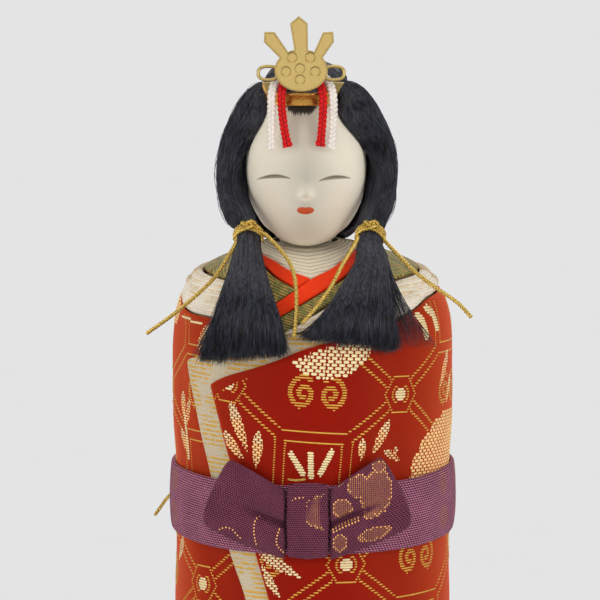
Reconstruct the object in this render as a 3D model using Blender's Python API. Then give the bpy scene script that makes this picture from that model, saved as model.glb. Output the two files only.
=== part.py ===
"""Standing hina doll: a padded robe-wrapped body, a lift-off head on a peg, and a lift-off crown.

Metres, +Z up, the doll faces -Y, origin at the centre of the underside. Left and right are
the viewer's left (-X) and right (+X).
"""
import math

import bmesh
import bpy
from mathutils import Matrix, Vector

MM = 0.001

# Driving sizes of the robed trunk, measured on the outside of the cloth.
CHEST_RADIUS = 37.8 * MM
COLLAR_TOP = 157.9 * MM
DOME_HEIGHT = 30.0 * MM
SHOULDER_HEIGHT = COLLAR_TOP - DOME_HEIGHT
NECK_OFFSET = -1.8 * MM
FIT_GAP = 0.3 * MM
TIP_WIDTH = 0.6 * MM

# Outline of the trunk: radius as a share of CHEST_RADIUS, height as a share of SHOULDER_HEIGHT,
# then of DOME_HEIGHT. The waist is drawn in by the sash.
TRUNK_SHARES = ((0.989, 0.0), (0.989, 0.46), (0.979, 0.61), (0.979, 0.765), (1.0, 0.875), (1.0, 0.995))
DOME_SHARES = (
    (0.987, 0.27), (0.952, 0.47), (0.873, 0.637), (0.754, 0.77),
    (0.608, 0.857), (0.450, 0.933), (0.317, 0.977), (0.225, 1.0),
)

# Cloth layers.
CLOTH_THICKNESS = 1.8 * MM
RIM_SHARE = 0.6
UNDER_FRONT_THICKNESS = 0.8 * MM
LINING_THICKNESS = 0.7 * MM
PANEL_FRONT_THICKNESS = 1.0 * MM
EDGE_ROUNDING = 0.8 * MM
LAYER_GAP = 0.45 * MM
UNDER_FADE_START = 8.4 * MM
UNDER_FADE_END = 12.6 * MM
COLLAR_LIFT = 0.3 * MM
ROLL_LIFT = 0.6 * MM
BACK_ROLL_LIFT = 0.9 * MM
SLOPE_STEP = 0.4 * MM
FACET_ALLOWANCE = 0.15 * MM
CORE_INSET = CLOTH_THICKNESS + FIT_GAP + FACET_ALLOWANCE

LINING_INNER = -CLOTH_THICKNESS + UNDER_FRONT_THICKNESS + LAYER_GAP
PANEL_FRONT_INNER = LINING_INNER + LINING_THICKNESS + LAYER_GAP

# Base.
PAD_THICKNESS = 1.7 * MM
PAD_RADIUS = CHEST_RADIUS * TRUNK_SHARES[0][0] - CORE_INSET - FIT_GAP
HEM_HEIGHT = 0.7 * MM

# Peg and the bores that it sits in.
PEG_RADIUS = 1.5 * MM
PEG_SIDES = 16
PEG_CLEARANCE = 0.3 * MM
PEG_LENGTH = 60.0 * MM
PEG_DEPTH_IN_BODY = 36.0 * MM
PEG_POINT_LENGTH = 5.0 * MM
PEG_POINT_SHARE = 0.35
PEG_END_SHARE = 0.75
BORE_END_CLEARANCE = 1.0 * MM

# Obi sash and its bow.
SASH_CENTRE_HEIGHT = 88.9 * MM
SASH_HEIGHT = 18.8 * MM
SASH_THICKNESS = 1.1 * MM
SASH_SWELL = 0.35 * MM
SASH_SIDE_INNER = 0.4 * MM
BOW_HEIGHT = 20.2 * MM
BOW_LOOP_LENGTH = 20.5 * MM
BOW_LOOP_THICKNESS = 3.6 * MM
BOW_CURVATURE = 0.0105 / MM
BOW_TILT_SHARE = 0.28
BOW_LOW_SHARE = 0.92
BOW_HIGH_SHARE = 0.62
BOW_BELLY_SHARE = 0.22
BOW_ROOT_SHARE = 0.93
BOW_CREASE_SHARE = 0.5
BOW_CREASE_WIDTH_SHARE = 0.07
BOW_RIM_SHARE = 0.45
BOW_CENTRE_X = -1.4 * MM
KNOT_HALF_WIDTH = 5.5 * MM
KNOT_THICKNESS = 3.4 * MM
KNOT_END_SHARE = 0.94
KNOT_RIM_SHARE = 0.7
THREAD_RADIUS = 0.3 * MM
THREAD_LENGTH = 4.6 * MM
SASH_CORD_RADIUS = 0.5 * MM

# Head, measured from the neck axis. HEAD_HEIGHT runs from the chin to the top.
HEAD_HEIGHT = 43.2 * MM
HEAD_HALF_WIDTH = 16.3 * MM
FACE_DEPTH = 19.2 * MM
SKULL_DEPTH = 18.0 * MM
CHIN_HEIGHT = COLLAR_TOP + 0.3 * MM
NECK_RADIUS = 7.0 * MM
NECK_SEAT_GAP = FIT_GAP
NOSE_LENGTH = 1.5 * MM
NOSE_WIDTH = 1.5 * MM
NOSE_RISE = 2.6 * MM
NOSE_UNDERCUT = 0.55 * MM

# Hair.
HAIR_GAP = 0.45 * MM
HAIR_BACK_THICKNESS = 4.6 * MM
HAIR_SWEEP_THICKNESS = 7.8 * MM
TIE_X = 17.9 * MM
TIE_Y = -17.0 * MM
TIE_HEIGHT = COLLAR_TOP + 5.5 * MM
TIE_RADIUS = 2.5 * MM
TIE_LEAN_SHARE = 0.61
TASSEL_DROP = 32.0 * MM
TASSEL_HALF_WIDTH = 12.4 * MM
TASSEL_HALF_THICKNESS = 2.3 * MM
TASSEL_CLEARANCE = 0.7 * MM

# Gold cords at the ties.
GOLD_CORD_RADIUS = 0.43 * MM
WINDING_TURNS = 2.5
WINDING_PITCH = 1.35 * MM
POINTS_PER_TURN = 24
CORD_STEP_SHARE = 3.0
BRAID_STEP_SHARE = 1.1

# Crown.
CROWN_X = -3.1 * MM
DISC_HALF_WIDTH = 7.0 * MM
DISC_HALF_HEIGHT = 5.6 * MM
DISC_HEIGHT = CHIN_HEIGHT + 47.4 * MM
DISC_Y = -20.6 * MM
PLATE_STEPS = 48
PLATE_THICKNESS = 0.9 * MM
PLATE_BEVEL = 0.22 * MM
PLATE_TILT = math.radians(9.0)
RAY_ROOT_SHARE = 0.62
RAY_SHOULDER_SHARE = 0.865
RAY_MARGIN = math.radians(2.3)
RAY_LENGTH = 14.3 * MM
RAY_HALF_WIDTH = 2.3 * MM
SIDE_RAY_LENGTH = 13.6 * MM
SIDE_RAY_HALF_WIDTH = 1.9 * MM
SIDE_RAY_ANGLE = math.radians(41.5)
DIMPLE_RADIUS = 1.5 * MM
DIMPLE_DEPTH = 0.45 * MM
LOOP_WIRE_RADIUS = 0.45 * MM
LOOP_HALF_LENGTH = 3.0 * MM
LOOP_HALF_HEIGHT = 1.85 * MM
LOOP_DROP = 0.56 * MM
LOOP_STEPS = 20
LOOP_OUT_SHARE = 0.62
LOOP_SQUARE_SHARE = 0.8
CUP_HALF_WIDTH = 11.0 * MM
CUP_HALF_DEPTH = 7.6 * MM
CUP_CENTRE_Y = -11.3 * MM
CUP_HEIGHT = 3.6 * MM
CUP_WALL = 0.8 * MM
CUP_FLOOR_WIDTH = 3.6 * MM
CUP_FLOOR_RISE = 1.9 * MM
CUP_LIP = 0.45 * MM
CUP_FLARE = 1.6 * MM
CUP_WAIST_SHARE = 0.55
CUP_WING_RISE = 2.2 * MM
CUP_WING_LOW_SHARE = 0.75
CUP_END = 96.0
CUP_DROP = 0.6 * MM
CUP_TOP = DISC_HEIGHT - DISC_HALF_HEIGHT - CUP_DROP
PIN_SIDES = 12
PIN_RADIUS = 0.6 * MM
PIN_LENGTH = 9.0 * MM
PIN_CLEARANCE = 0.25 * MM
PIN_Y = -15.6 * MM
BRAID_RADIUS = 1.1 * MM

# Cords that hang free: routes are points in millimetres, chosen by hand.
GOLD_ROUTES = {
    "gold_cord_left_outer": (
        (-23.3, -19.4, 161.6), (-24.9, -22.8, 157.2), (-27.9, -26.2, 152.0), (-32.0, -27.6, 146.9),
        (-37.4, -26.6, 141.6), (-43.9, -24.0, 136.2),
    ),
    "gold_cord_left_inner": (
        (-15.4, -17.6, 163.4), (-13.4, -21.2, 163.9), (-11.6, -25.2, 162.9), (-9.0, -29.2, 160.8),
        (-6.2, -33.8, 157.4), (-4.8, -38.2, 153.2), (-4.5, -42.0, 147.0), (-4.8, -44.2, 140.0),
        (-5.0, -45.0, 136.6),
    ),
    "gold_cord_right_inner": (
        (11.8, -17.6, 163.4), (11.9, -21.4, 163.1), (11.0, -26.2, 160.6), (8.9, -31.8, 156.8),
        (6.2, -37.2, 151.9), (2.4, -42.2, 146.8), (-2.4, -46.2, 142.2),
    ),
    "gold_cord_right_outer": (
        (20.3, -19.8, 161.6), (23.2, -24.0, 158.0), (27.0, -28.0, 153.6), (32.0, -28.2, 149.4),
        (38.0, -26.4, 145.0), (41.8, -24.6, 141.0),
    ),
}
BRAID_ROUTES = {
    "red_cord": ((-6.6, -20.7, 185.4), (-7.6, -20.7, 190.5), (-8.2, -20.6, 196.0), (-8.2, -19.9, 199.6),
                 (-7.4, -18.2, 202.2), (-5.2, -17.1, 203.4), (-3.0, -16.9, 203.7), (-0.9, -17.1, 203.4),
                 (1.5, -18.2, 202.2), (2.6, -19.9, 199.6), (2.7, -20.6, 196.0), (2.4, -20.7, 190.5),
                 (1.9, -20.7, 185.6)),
    "white_cord": ((-10.9, -20.4, 184.8), (-11.0, -20.3, 190.5), (-10.9, -20.2, 196.0), (-10.8, -19.6, 199.4),
                   (-10.0, -17.9, 201.9), (-8.0, -16.6, 204.4), (-5.2, -16.1, 206.2), (-3.0, -16.0, 206.6),
                   (-0.8, -16.1, 206.2), (2.2, -16.6, 204.4), (4.3, -17.9, 201.9), (5.2, -19.6, 199.4),
                   (5.4, -20.2, 196.0), (5.3, -20.3, 190.5), (4.9, -20.4, 184.8)),
}
SASH_CORD_ROUTE = (
    (-8.3, 38.9, 90.5), (-17.1, 35.9, 90.0), (-25.2, 30.8, 89.4), (-31.6, 24.2, 88.6),
    (-36.4, 16.5, 87.4), (-39.8, 10.8, 85.0), (-43.1, 6.6, 81.0),
)

# Edges on the trunk: angle from the front in degrees, positive to the right, and the drop
# below COLLAR_TOP as a share of DOME_HEIGHT.
WHITE_EDGE_SHARES = (
    (-24, 0.520), (-12, 0.353), (0, 0.220), (15, 0.150), (29, 0.097), (60, 0.050), (90, 0.040), (180, 0.037),
)
RED_EDGE_SHARES = (
    (-24, 0.617), (-13, 0.473), (0, 0.337), (15, 0.230), (38, 0.117), (60, 0.090), (90, 0.083), (180, 0.077),
)
GREEN_EDGE_SHARES = (
    (-24, 0.820), (-11, 0.653), (0, 0.503), (15, 0.363), (40, 0.277), (60, 0.257), (90, 0.250), (180, 0.230),
)
PANEL_TOP_SHARES = (
    (-50, 1.27), (-44, 1.15), (-30.5, 0.970), (-17.4, 0.863), (-5, 0.767), (13, 0.703), (30, 0.613),
    (45, 0.540), (64, 0.443), (90, 0.423), (180, 0.380),
)
LINING_TOP_SHARES = ((-64, 1.0), (-56, 0.930), (-26, 0.777), (-9, 0.723), (12, 0.680))
UNDER_TOP_SHARES = (
    (-180, 0.380), (-90, 0.423), (-65, 0.417), (-56, 0.463), (-40, 0.580), (-24, 0.790), (12, 0.760),
)
# Rows of the core below and on the dome.
CORE_ROW_SHARES = (0.0, 0.45, 0.61, 0.77, 0.89, 1.0)
CORE_DOME_SHARES = (0.15, 0.27, 0.38, 0.48, 0.57, 0.65, 0.73, 0.79, 0.845, 0.895, 0.94, 1.0)
# Rows of a sheet between its rounded edges.
BAND_ROW_SHARES = (0.0, 0.5, 1.0)
LOWER_ROW_SHARES = (0.0, 0.13, 0.27, 0.41, 0.55, 0.67, 0.78, 0.89, 1.0)
UPPER_ROW_SHARES = (0.0, 0.17, 0.34, 0.52, 0.67, 0.77, 0.85, 0.93, 1.0)
OBI_ROW_SHARES = (0.0, 0.5, 1.0)
# Sections of the bow: along and across a loop, then along and across the knot.
BOW_LENGTH_SHARES = (0.0, 0.08, 0.22, 0.4, 0.6, 0.8, 0.93, 1.0)
BOW_WIDTH_SHARES = (0.0, 0.05, 0.18, 0.34, 0.46, 0.5, 0.54, 0.66, 0.82, 0.95, 1.0)
KNOT_LENGTH_SHARES = (0.0, 0.04, 0.14, 0.35, 0.65, 0.86, 0.96, 1.0)
KNOT_WIDTH_SHARES = (-1.0, -0.88, -0.5, 0.0, 0.5, 0.88, 1.0)
COLLAR_ROW_SHARES = (0.0, 0.33, 0.67, 1.0)
# Free edges of the front: height as a share of SHOULDER_HEIGHT, then the angle.
PANEL_EDGE_SHARES = (
    (0.0, 9.0), (0.30, -7.5), (0.52, -17.7), (0.61, -23.1), (0.81, -35.0), (0.89, -39.4), (0.965, -44.3),
)
LINING_EDGE_SHARES = (
    (0.0, -3.5), (0.30, -18.5), (0.52, -28.9), (0.61, -36.5), (0.76, -47.0), (0.86, -52.7), (0.99, -62.4),
)
# Angles in degrees: where the layers of the front end, ramps over which they rise, and steps.
OVERLAP_END = 11.0
EDGE_LEAN_REACH = 70.0
PANEL_RAMP = (14.0, 36.0)
SASH_RAMP = (36.0, 66.0)
UNDER_RAMP = (8.0, 27.0)
BAND_SPLIT = -22.5
BAND_END = -1.0
SPLIT_GAP = 0.5
ROLL_END = 88.0
SIDE_START = 60.0
FRONT_END = 40.0
TIP_STEP = 3.0
FINE_STEP = 6.0
SHEET_STEP = 8.0
ROUND_STEP = 10.0
COARSE_STEP = 12.0

# Head slices: half width, front, back and height as shares of HEAD_HALF_WIDTH, FACE_DEPTH,
# SKULL_DEPTH and HEAD_HEIGHT. Height has three values: at the front, the side and the back.
HEAD_SHARES = (
    (0.50, 0.62, 0.42, (-0.004, 0.028, 0.042)),
    (0.56, 0.80, 0.50, (0.004, 0.060, 0.075)),
    (0.72, 0.905, 0.62, (0.045, 0.105, 0.120)),
    (0.80, 0.955, 0.72, (0.115, 0.150, 0.165)),
    (0.865, 0.985, 0.80, (0.185, 0.195, 0.205)),
    (0.91, 1.000, 0.85, (0.235, 0.235, 0.235)),
    (0.94, 1.005, 0.885, (0.275, 0.275, 0.275)),
    (0.962, 1.006, 0.91, (0.312, 0.312, 0.312)),
    (0.978, 1.004, 0.93, (0.350, 0.350, 0.350)),
    (0.994, 0.996, 0.96, (0.410, 0.410, 0.410)),
    (1.000, 0.988, 0.98, (0.470, 0.470, 0.470)),
    (0.995, 0.978, 0.995, (0.540, 0.540, 0.540)),
    (0.968, 0.960, 1.000, (0.630, 0.630, 0.630)),
    (0.905, 0.915, 0.965, (0.725, 0.725, 0.725)),
    (0.800, 0.830, 0.870, (0.815, 0.815, 0.815)),
    (0.650, 0.690, 0.715, (0.890, 0.890, 0.890)),
    (0.470, 0.500, 0.520, (0.945, 0.945, 0.945)),
    (0.270, 0.290, 0.300, (0.982, 0.982, 0.982)),
    (0.080, 0.085, 0.090, (0.999, 0.999, 0.999)),
)
NOSE_HEIGHT_SHARE = 0.318
NECK_TOP_SHARE = 0.03
HEAD_COLUMNS = (
    0, 4, 8, 13, 20, 31, 45, 61, 79, 100, 125, 152, 180, 208, 235, 260, 281, 299, 315, 329, 340, 347, 352, 356,
)
DIMPLE_SHARES = ((-0.34, 0.61), (0.34, 0.61), (-0.57, -0.05), (-0.04, 0.09), (0.53, -0.05), (-0.04, -0.43))


def clear_scene():
    for item in list(bpy.data.objects):
        bpy.data.objects.remove(item, do_unlink=True)


def mix(a, b, t):
    return a + (b - a) * t


def smoothstep(low, high, x):
    t = min(max((x - low) / (high - low), 0.0), 1.0)
    return t * t * (3 - 2 * t)


def table_at(table, x):
    """Value at x of a table of (x, value), joined by a smooth curve with no overshoot."""
    if x <= table[0][0]:
        return table[0][1]
    if x >= table[-1][0]:
        return table[-1][1]
    index = next(i for i in range(len(table) - 1) if x <= table[i + 1][0])
    (x0, y0), (x1, y1) = table[index], table[index + 1]
    chord = (y1 - y0) / (x1 - x0)

    def slope(i):
        if i == 0 or i == len(table) - 1:
            return chord
        before = (table[i][1] - table[i - 1][1]) / (table[i][0] - table[i - 1][0])
        after = (table[i + 1][1] - table[i][1]) / (table[i + 1][0] - table[i][0])
        if before * after <= 0:
            return 0.0
        return 2 * before * after / (before + after)

    t = (x - x0) / (x1 - x0)
    width = x1 - x0
    m0, m1 = slope(index) * width, slope(index + 1) * width
    return (
        (2 * t ** 3 - 3 * t ** 2 + 1) * y0
        + (t ** 3 - 2 * t ** 2 + t) * m0
        + (3 * t ** 2 - 2 * t ** 3) * y1
        + (t ** 3 - t ** 2) * m1
    )


def smooth_route(points, spacing):
    """Points a set distance apart along a smooth curve through the route's own points."""
    route = [Vector(point) * MM for point in points]
    padded = [route[0] * 2 - route[1]] + route + [route[-1] * 2 - route[-2]]
    dense = []
    for p0, p1, p2, p3 in zip(padded, padded[1:], padded[2:], padded[3:]):
        for step in range(12):
            t = step / 12
            dense.append(
                0.5 * (2 * p1 + (p2 - p0) * t + (2 * p0 - 5 * p1 + 4 * p2 - p3) * t ** 2
                       + (3 * p1 - p0 - 3 * p2 + p3) * t ** 3)
            )
    dense.append(route[-1])
    lengths = [0.0]
    for a, b in zip(dense, dense[1:]):
        lengths.append(lengths[-1] + (b - a).length)
    count = max(2, round(lengths[-1] / spacing))
    result = []
    for step in range(count + 1):
        target = lengths[-1] * step / count
        index = next((i for i in range(len(lengths) - 1) if target <= lengths[i + 1]), len(lengths) - 2)
        span = lengths[index + 1] - lengths[index]
        result.append(dense[index].lerp(dense[index + 1], (target - lengths[index]) / span))
    return result


def material(name, colour, roughness, metallic=0.0):
    found = bpy.data.materials.get(name)
    if found:
        return found
    made = bpy.data.materials.new(name)
    made.use_nodes = True
    shader = made.node_tree.nodes["Principled BSDF"]
    shader.inputs["Base Color"].default_value = (*colour, 1.0)
    shader.inputs["Roughness"].default_value = roughness
    shader.inputs["Metallic"].default_value = metallic
    made.diffuse_color = (*colour, 1.0)
    return made


def link(item, surface):
    bpy.context.scene.collection.objects.link(item)
    item.data.materials.append(surface)
    return item


def finish_mesh(name, shape, surface, origin=None, smooth=True):
    """Turn a bmesh into an object whose origin lies at a given point."""
    bmesh.ops.recalc_face_normals(shape, faces=shape.faces)
    if origin is not None:
        bmesh.ops.translate(shape, verts=shape.verts, vec=-Vector(origin))
    mesh = bpy.data.meshes.new(name)
    shape.to_mesh(mesh)
    shape.free()
    item = bpy.data.objects.new(name, mesh)
    if origin is not None:
        item.location = origin
    link(item, surface)
    if smooth:
        mesh.shade_smooth()
        mesh.set_sharp_from_angle(angle=math.radians(40))
    return item


def loft(name, rings, surface, cyclic=False, strip_caps=False, origin=None):
    """A closed skin over rings of points; the ends are closed with strips or with one face."""
    shape = bmesh.new()
    rows = [[shape.verts.new(point) for point in ring] for ring in rings]
    count = len(rows[0])
    pairs = list(zip(rows, rows[1:])) + ([(rows[-1], rows[0])] if cyclic else [])
    for row, following in pairs:
        for i in range(count):
            j = (i + 1) % count
            shape.faces.new((row[i], row[j], following[j], following[i]))
    if not cyclic:
        for row in (rows[0], rows[-1]):
            if strip_caps:
                for i in range(count // 2 - 1):
                    shape.faces.new((row[i], row[i + 1], row[count - 2 - i], row[count - 1 - i]))
            else:
                shape.faces.new(row)
    return finish_mesh(name, shape, surface, origin)


def tube(name, points, radius, surface, resolution=2, origin=(0, 0, 0), cyclic=False):
    curve = bpy.data.curves.new(name, "CURVE")
    curve.dimensions = "3D"
    curve.bevel_depth = radius
    curve.bevel_resolution = resolution
    curve.use_fill_caps = not cyclic
    spline = curve.splines.new("POLY")
    spline.points.add(len(points) - 1)
    for target, point in zip(spline.points, points):
        target.co = (*(Vector(point) - Vector(origin)), 1.0)
    spline.use_cyclic_u = cyclic
    item = bpy.data.objects.new(name, curve)
    item.location = origin
    return link(item, surface)


def trunk_outline():
    """Dense outline of the robed trunk: (height, radius), rising."""
    table = [(height * SHOULDER_HEIGHT, radius * CHEST_RADIUS) for radius, height in TRUNK_SHARES]
    table += [(SHOULDER_HEIGHT + rise * DOME_HEIGHT, radius * CHEST_RADIUS) for radius, rise in DOME_SHARES]
    return table


OUTLINE = trunk_outline()


def on_trunk(angle, height, depth):
    """Point at an angle from the front and a height, moved out from the cloth by depth."""
    radius = table_at(OUTLINE, height)
    low = max(height - SLOPE_STEP, OUTLINE[0][0])
    high = min(height + SLOPE_STEP, OUTLINE[-1][0])
    slope = (table_at(OUTLINE, high) - table_at(OUTLINE, low)) / (high - low)
    length = math.hypot(1.0, slope)
    radius_out = radius + depth / length
    height_out = height - depth * slope / length
    inward = smoothstep(0.0, 1.0, (CHEST_RADIUS - radius) / (CHEST_RADIUS - OUTLINE[-1][1]))
    turn = math.radians(angle)
    x = NECK_OFFSET * inward + radius_out * math.sin(turn)
    return Vector((x, -radius_out * math.cos(turn), height_out))


def dome_edge(table, angle):
    return COLLAR_TOP - table_at(table, angle) * DOME_HEIGHT


def shares(start, stop, count):
    return [mix(start, stop, i / count) for i in range(count + 1)]


def even(start, stop, step):
    return shares(start, stop, max(1, math.ceil(abs(stop - start) / step)))


def cloth(name, columns, low, high, inner, outer, surface, edge=None, row_shares=BAND_ROW_SHARES,
          cyclic=False):
    """A sheet of cloth on the trunk, from low to high, between the depths inner and outer.

    columns are angles. edge, where given, is a function of height that replaces the angle of
    the first column, and the columns near it lean with it.
    """
    rings = []
    lean_reach = min(EDGE_LEAN_REACH, columns[-1] - columns[0])
    for index, angle in enumerate(columns):
        share = smoothstep(columns[0], columns[0] + lean_reach, angle)
        outer_side, inner_side = [], []
        bottom, top = low(angle), high(angle)
        rounding = min(EDGE_ROUNDING, (top - bottom) / 3)
        rows = [mix(bottom + rounding, top - rounding, row) for row in row_shares]
        heights = [bottom, *rows, top]
        for i, height in enumerate(heights):
            place = angle
            if edge is not None:
                place = angle + (edge(height) - columns[0]) * (1 - share)
            deep, proud = inner(place, height), outer(place, height)
            if i in (0, len(heights) - 1) or (index in (0, len(columns) - 1) and not cyclic):
                proud = mix(deep, proud, RIM_SHARE)
            outer_side.append(on_trunk(place, height, proud))
            inner_side.append(on_trunk(place, height, deep))
        rings.append(outer_side + inner_side[::-1])
    return loft(name, rings, surface, cyclic=cyclic, strip_caps=True)


def fold_depth(angle):
    """How far the front overlap lifts the outer panel off its base depth."""
    return 1 - smoothstep(*PANEL_RAMP, angle)


def panel_inner(angle, height):
    return mix(-CLOTH_THICKNESS, PANEL_FRONT_INNER, fold_depth(angle))


def panel_outer(angle, height):
    return mix(0.0, PANEL_FRONT_INNER + PANEL_FRONT_THICKNESS, fold_depth(angle))


def lining_edge(height):
    return table_at(LINING_EDGE_SHARES, height / SHOULDER_HEIGHT)


def panel_edge(height):
    return table_at(PANEL_EDGE_SHARES, height / SHOULDER_HEIGHT)


def under_outer(angle, height):
    start = lining_edge(min(height, SHOULDER_HEIGHT))
    thin = smoothstep(start - UNDER_RAMP[1], start - UNDER_RAMP[0], angle)
    fade = smoothstep(UNDER_FADE_START, UNDER_FADE_END, max(height - SHOULDER_HEIGHT, 0.0))
    return mix(0.0, -CLOTH_THICKNESS + UNDER_FRONT_THICKNESS, thin * (1 - fade))


def ring_at(x, y, radius, height, turns):
    """Level ring of points about a vertical line, each at a turn in degrees from the front."""
    return [
        Vector((x + radius * math.sin(math.radians(turn)), y - radius * math.cos(math.radians(turn)), height))
        for turn in turns
    ]


def make_core(surface):
    start = PAD_THICKNESS + FIT_GAP
    heights = [mix(start, SHOULDER_HEIGHT, share) for share in CORE_ROW_SHARES]
    heights += [SHOULDER_HEIGHT + rise * DOME_HEIGHT for rise in CORE_DOME_SHARES]
    turns = even(-180, 180, COARSE_STEP)[:-1]
    rings = [[on_trunk(turn, height, -CORE_INSET) for turn in turns] for height in heights]
    top = min(point.z for point in rings[-1])
    bore = PEG_RADIUS + PEG_CLEARANCE
    rings.append(ring_at(NECK_OFFSET, 0, bore, top, turns))
    rings.append(ring_at(NECK_OFFSET, 0, bore, top - PEG_DEPTH_IN_BODY - BORE_END_CLEARANCE, turns))
    loft("body_core", rings, surface)
    return top


def make_base(surface):
    turns = even(-180, 180, SHEET_STEP)[:-1]
    chamfer = PAD_THICKNESS / 4
    loft("base_pad", [
        ring_at(0, 0, PAD_RADIUS - chamfer, 0, turns),
        ring_at(0, 0, PAD_RADIUS, chamfer, turns),
        ring_at(0, 0, PAD_RADIUS, PAD_THICKNESS, turns),
    ], surface)


def make_robes(red, white):
    below = SASH_CENTRE_HEIGHT - FIT_GAP / 2
    above = SASH_CENTRE_HEIGHT + FIT_GAP / 2
    seam = math.degrees(FIT_GAP / CHEST_RADIUS)

    def flat(value):
        return lambda angle: value

    def depth(value):
        return lambda angle, height: value

    def dome(table):
        return lambda angle: dome_edge(table, angle)

    under_columns = even(-180 + seam, -SIDE_START, COARSE_STEP)
    under_columns += even(-SIDE_START, OVERLAP_END, SHEET_STEP)[1:]
    lower_tops = (flat(below), flat(below), flat(below))
    upper_tops = (dome(UNDER_TOP_SHARES), dome(LINING_TOP_SHARES), dome(PANEL_TOP_SHARES))
    for half, bottom, tops, rows in (
        ("lower", HEM_HEIGHT, lower_tops, LOWER_ROW_SHARES), ("upper", above, upper_tops, UPPER_ROW_SHARES),
    ):
        under_top, lining_top, panel_top = tops
        low = flat(bottom)
        cloth(half + "_under_robe", under_columns, low, under_top, depth(-CLOTH_THICKNESS), under_outer,
              red, row_shares=rows)
        middle = mix(bottom, lining_top(BAND_SPLIT), 0.5)
        lining_columns = even(lining_edge(middle), OVERLAP_END, SHEET_STEP)
        cloth(half + "_lining", lining_columns, low, lining_top, depth(LINING_INNER),
              depth(LINING_INNER + LINING_THICKNESS), white, edge=lining_edge, row_shares=rows)
        middle = mix(bottom, panel_top(BAND_SPLIT), 0.5)
        panel_columns = even(panel_edge(middle), FRONT_END, SHEET_STEP)
        panel_columns += even(FRONT_END, 180 - seam, COARSE_STEP)[1:]
        cloth(half + "_front_panel", panel_columns, low, panel_top, panel_inner, panel_outer, red,
              edge=panel_edge, row_shares=rows)


def make_collars(cream, pale, red, green, tan):
    gap = FIT_GAP

    def edge(table, side=1, shift=0.0):
        return lambda angle: dome_edge(table, angle * side) + shift

    def band(name, columns, low, high, lift, surface):
        kept = [angle for angle in columns if high(angle) - low(angle) > TIP_WIDTH]
        cloth(name, kept, low, high, lambda a, h: -CLOTH_THICKNESS, lambda a, h: lift, surface)

    def over_right(angle):
        """Lower edge of the left-hand collars where the right-hand ones lie over them."""
        return dome_edge(WHITE_EDGE_SHARES, angle) + gap

    def red_left_low(angle):
        own = dome_edge(RED_EDGE_SHARES, -angle)
        return own if angle <= BAND_SPLIT else max(own, over_right(angle))

    def green_left_low(angle):
        own = dome_edge(GREEN_EDGE_SHARES, -angle) + gap
        return own if angle <= BAND_SPLIT else over_right(angle)

    def green_right_low(angle):
        own = dome_edge(GREEN_EDGE_SHARES, angle)
        return (max(own, dome_edge(LINING_TOP_SHARES, angle) + gap) if angle < 0 else own) + gap

    def roll_left_low(angle):
        return max(dome_edge(UNDER_TOP_SHARES, angle), dome_edge(LINING_TOP_SHARES, angle)) + 2 * gap

    def roll_right_low(angle):
        panel = dome_edge(PANEL_TOP_SHARES, angle)
        lining = dome_edge(LINING_TOP_SHARES, angle)
        return (max(panel, lining) if angle <= PANEL_RAMP[0] else panel) + gap

    def around_back(table, shift=0.0):
        return lambda angle: dome_edge(table, min(angle, 360 - angle)) + shift

    cloth("neck_collar", even(-180, 180, COARSE_STEP)[:-1],
          lambda a: dome_edge(WHITE_EDGE_SHARES, abs(a)) + gap, lambda a: COLLAR_TOP,
          lambda a, h: -CLOTH_THICKNESS, lambda a, h: 0.0, cream, row_shares=COLLAR_ROW_SHARES, cyclic=True)

    back = 180 - math.degrees(gap / CHEST_RADIUS)
    split = BAND_SPLIT + SPLIT_GAP
    left_columns = even(-back, -SIDE_START, COARSE_STEP) + even(-SIDE_START, BAND_SPLIT, FINE_STEP)[1:]
    left_columns += even(split, BAND_END, TIP_STEP)
    right_columns = even(split, SIDE_START, FINE_STEP) + even(SIDE_START, back, COARSE_STEP)[1:]
    band("red_collar_left", left_columns, red_left_low, edge(WHITE_EDGE_SHARES, -1), 0.0, red)
    band("green_collar_left", left_columns, green_left_low, edge(RED_EDGE_SHARES, -1, -gap), 0.0, green)
    band("red_collar_right", right_columns, edge(RED_EDGE_SHARES), edge(WHITE_EDGE_SHARES), COLLAR_LIFT, red)
    band("green_collar_right", right_columns, green_right_low, edge(RED_EDGE_SHARES, 1, -gap), COLLAR_LIFT,
         green)
    band("shoulder_roll_left", even(-ROLL_END, BAND_SPLIT - SPLIT_GAP, FINE_STEP), roll_left_low,
         edge(GREEN_EDGE_SHARES, -1), ROLL_LIFT, pale)
    band("shoulder_roll_right", even(split + SPLIT_GAP, ROLL_END, FINE_STEP), roll_right_low,
         edge(GREEN_EDGE_SHARES), ROLL_LIFT, pale)
    band("back_roll", even(ROLL_END + 2 * SPLIT_GAP, 360 - ROLL_END - 2 * SPLIT_GAP, ROUND_STEP),
         around_back(PANEL_TOP_SHARES, gap), around_back(GREEN_EDGE_SHARES), BACK_ROLL_LIFT, tan)


def sash_inner(angle, height=0.0):
    front = PANEL_FRONT_INNER + PANEL_FRONT_THICKNESS + FIT_GAP
    return mix(front, SASH_SIDE_INNER, smoothstep(*SASH_RAMP, abs(angle)))


def bow_back(x):
    """Depth of the bow's back face, which curves around the sash."""
    front = CHEST_RADIUS * TRUNK_SHARES[3][0] + sash_inner(0) + SASH_THICKNESS + SASH_SWELL + FIT_GAP
    return -front + BOW_CURVATURE * x * x


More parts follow.
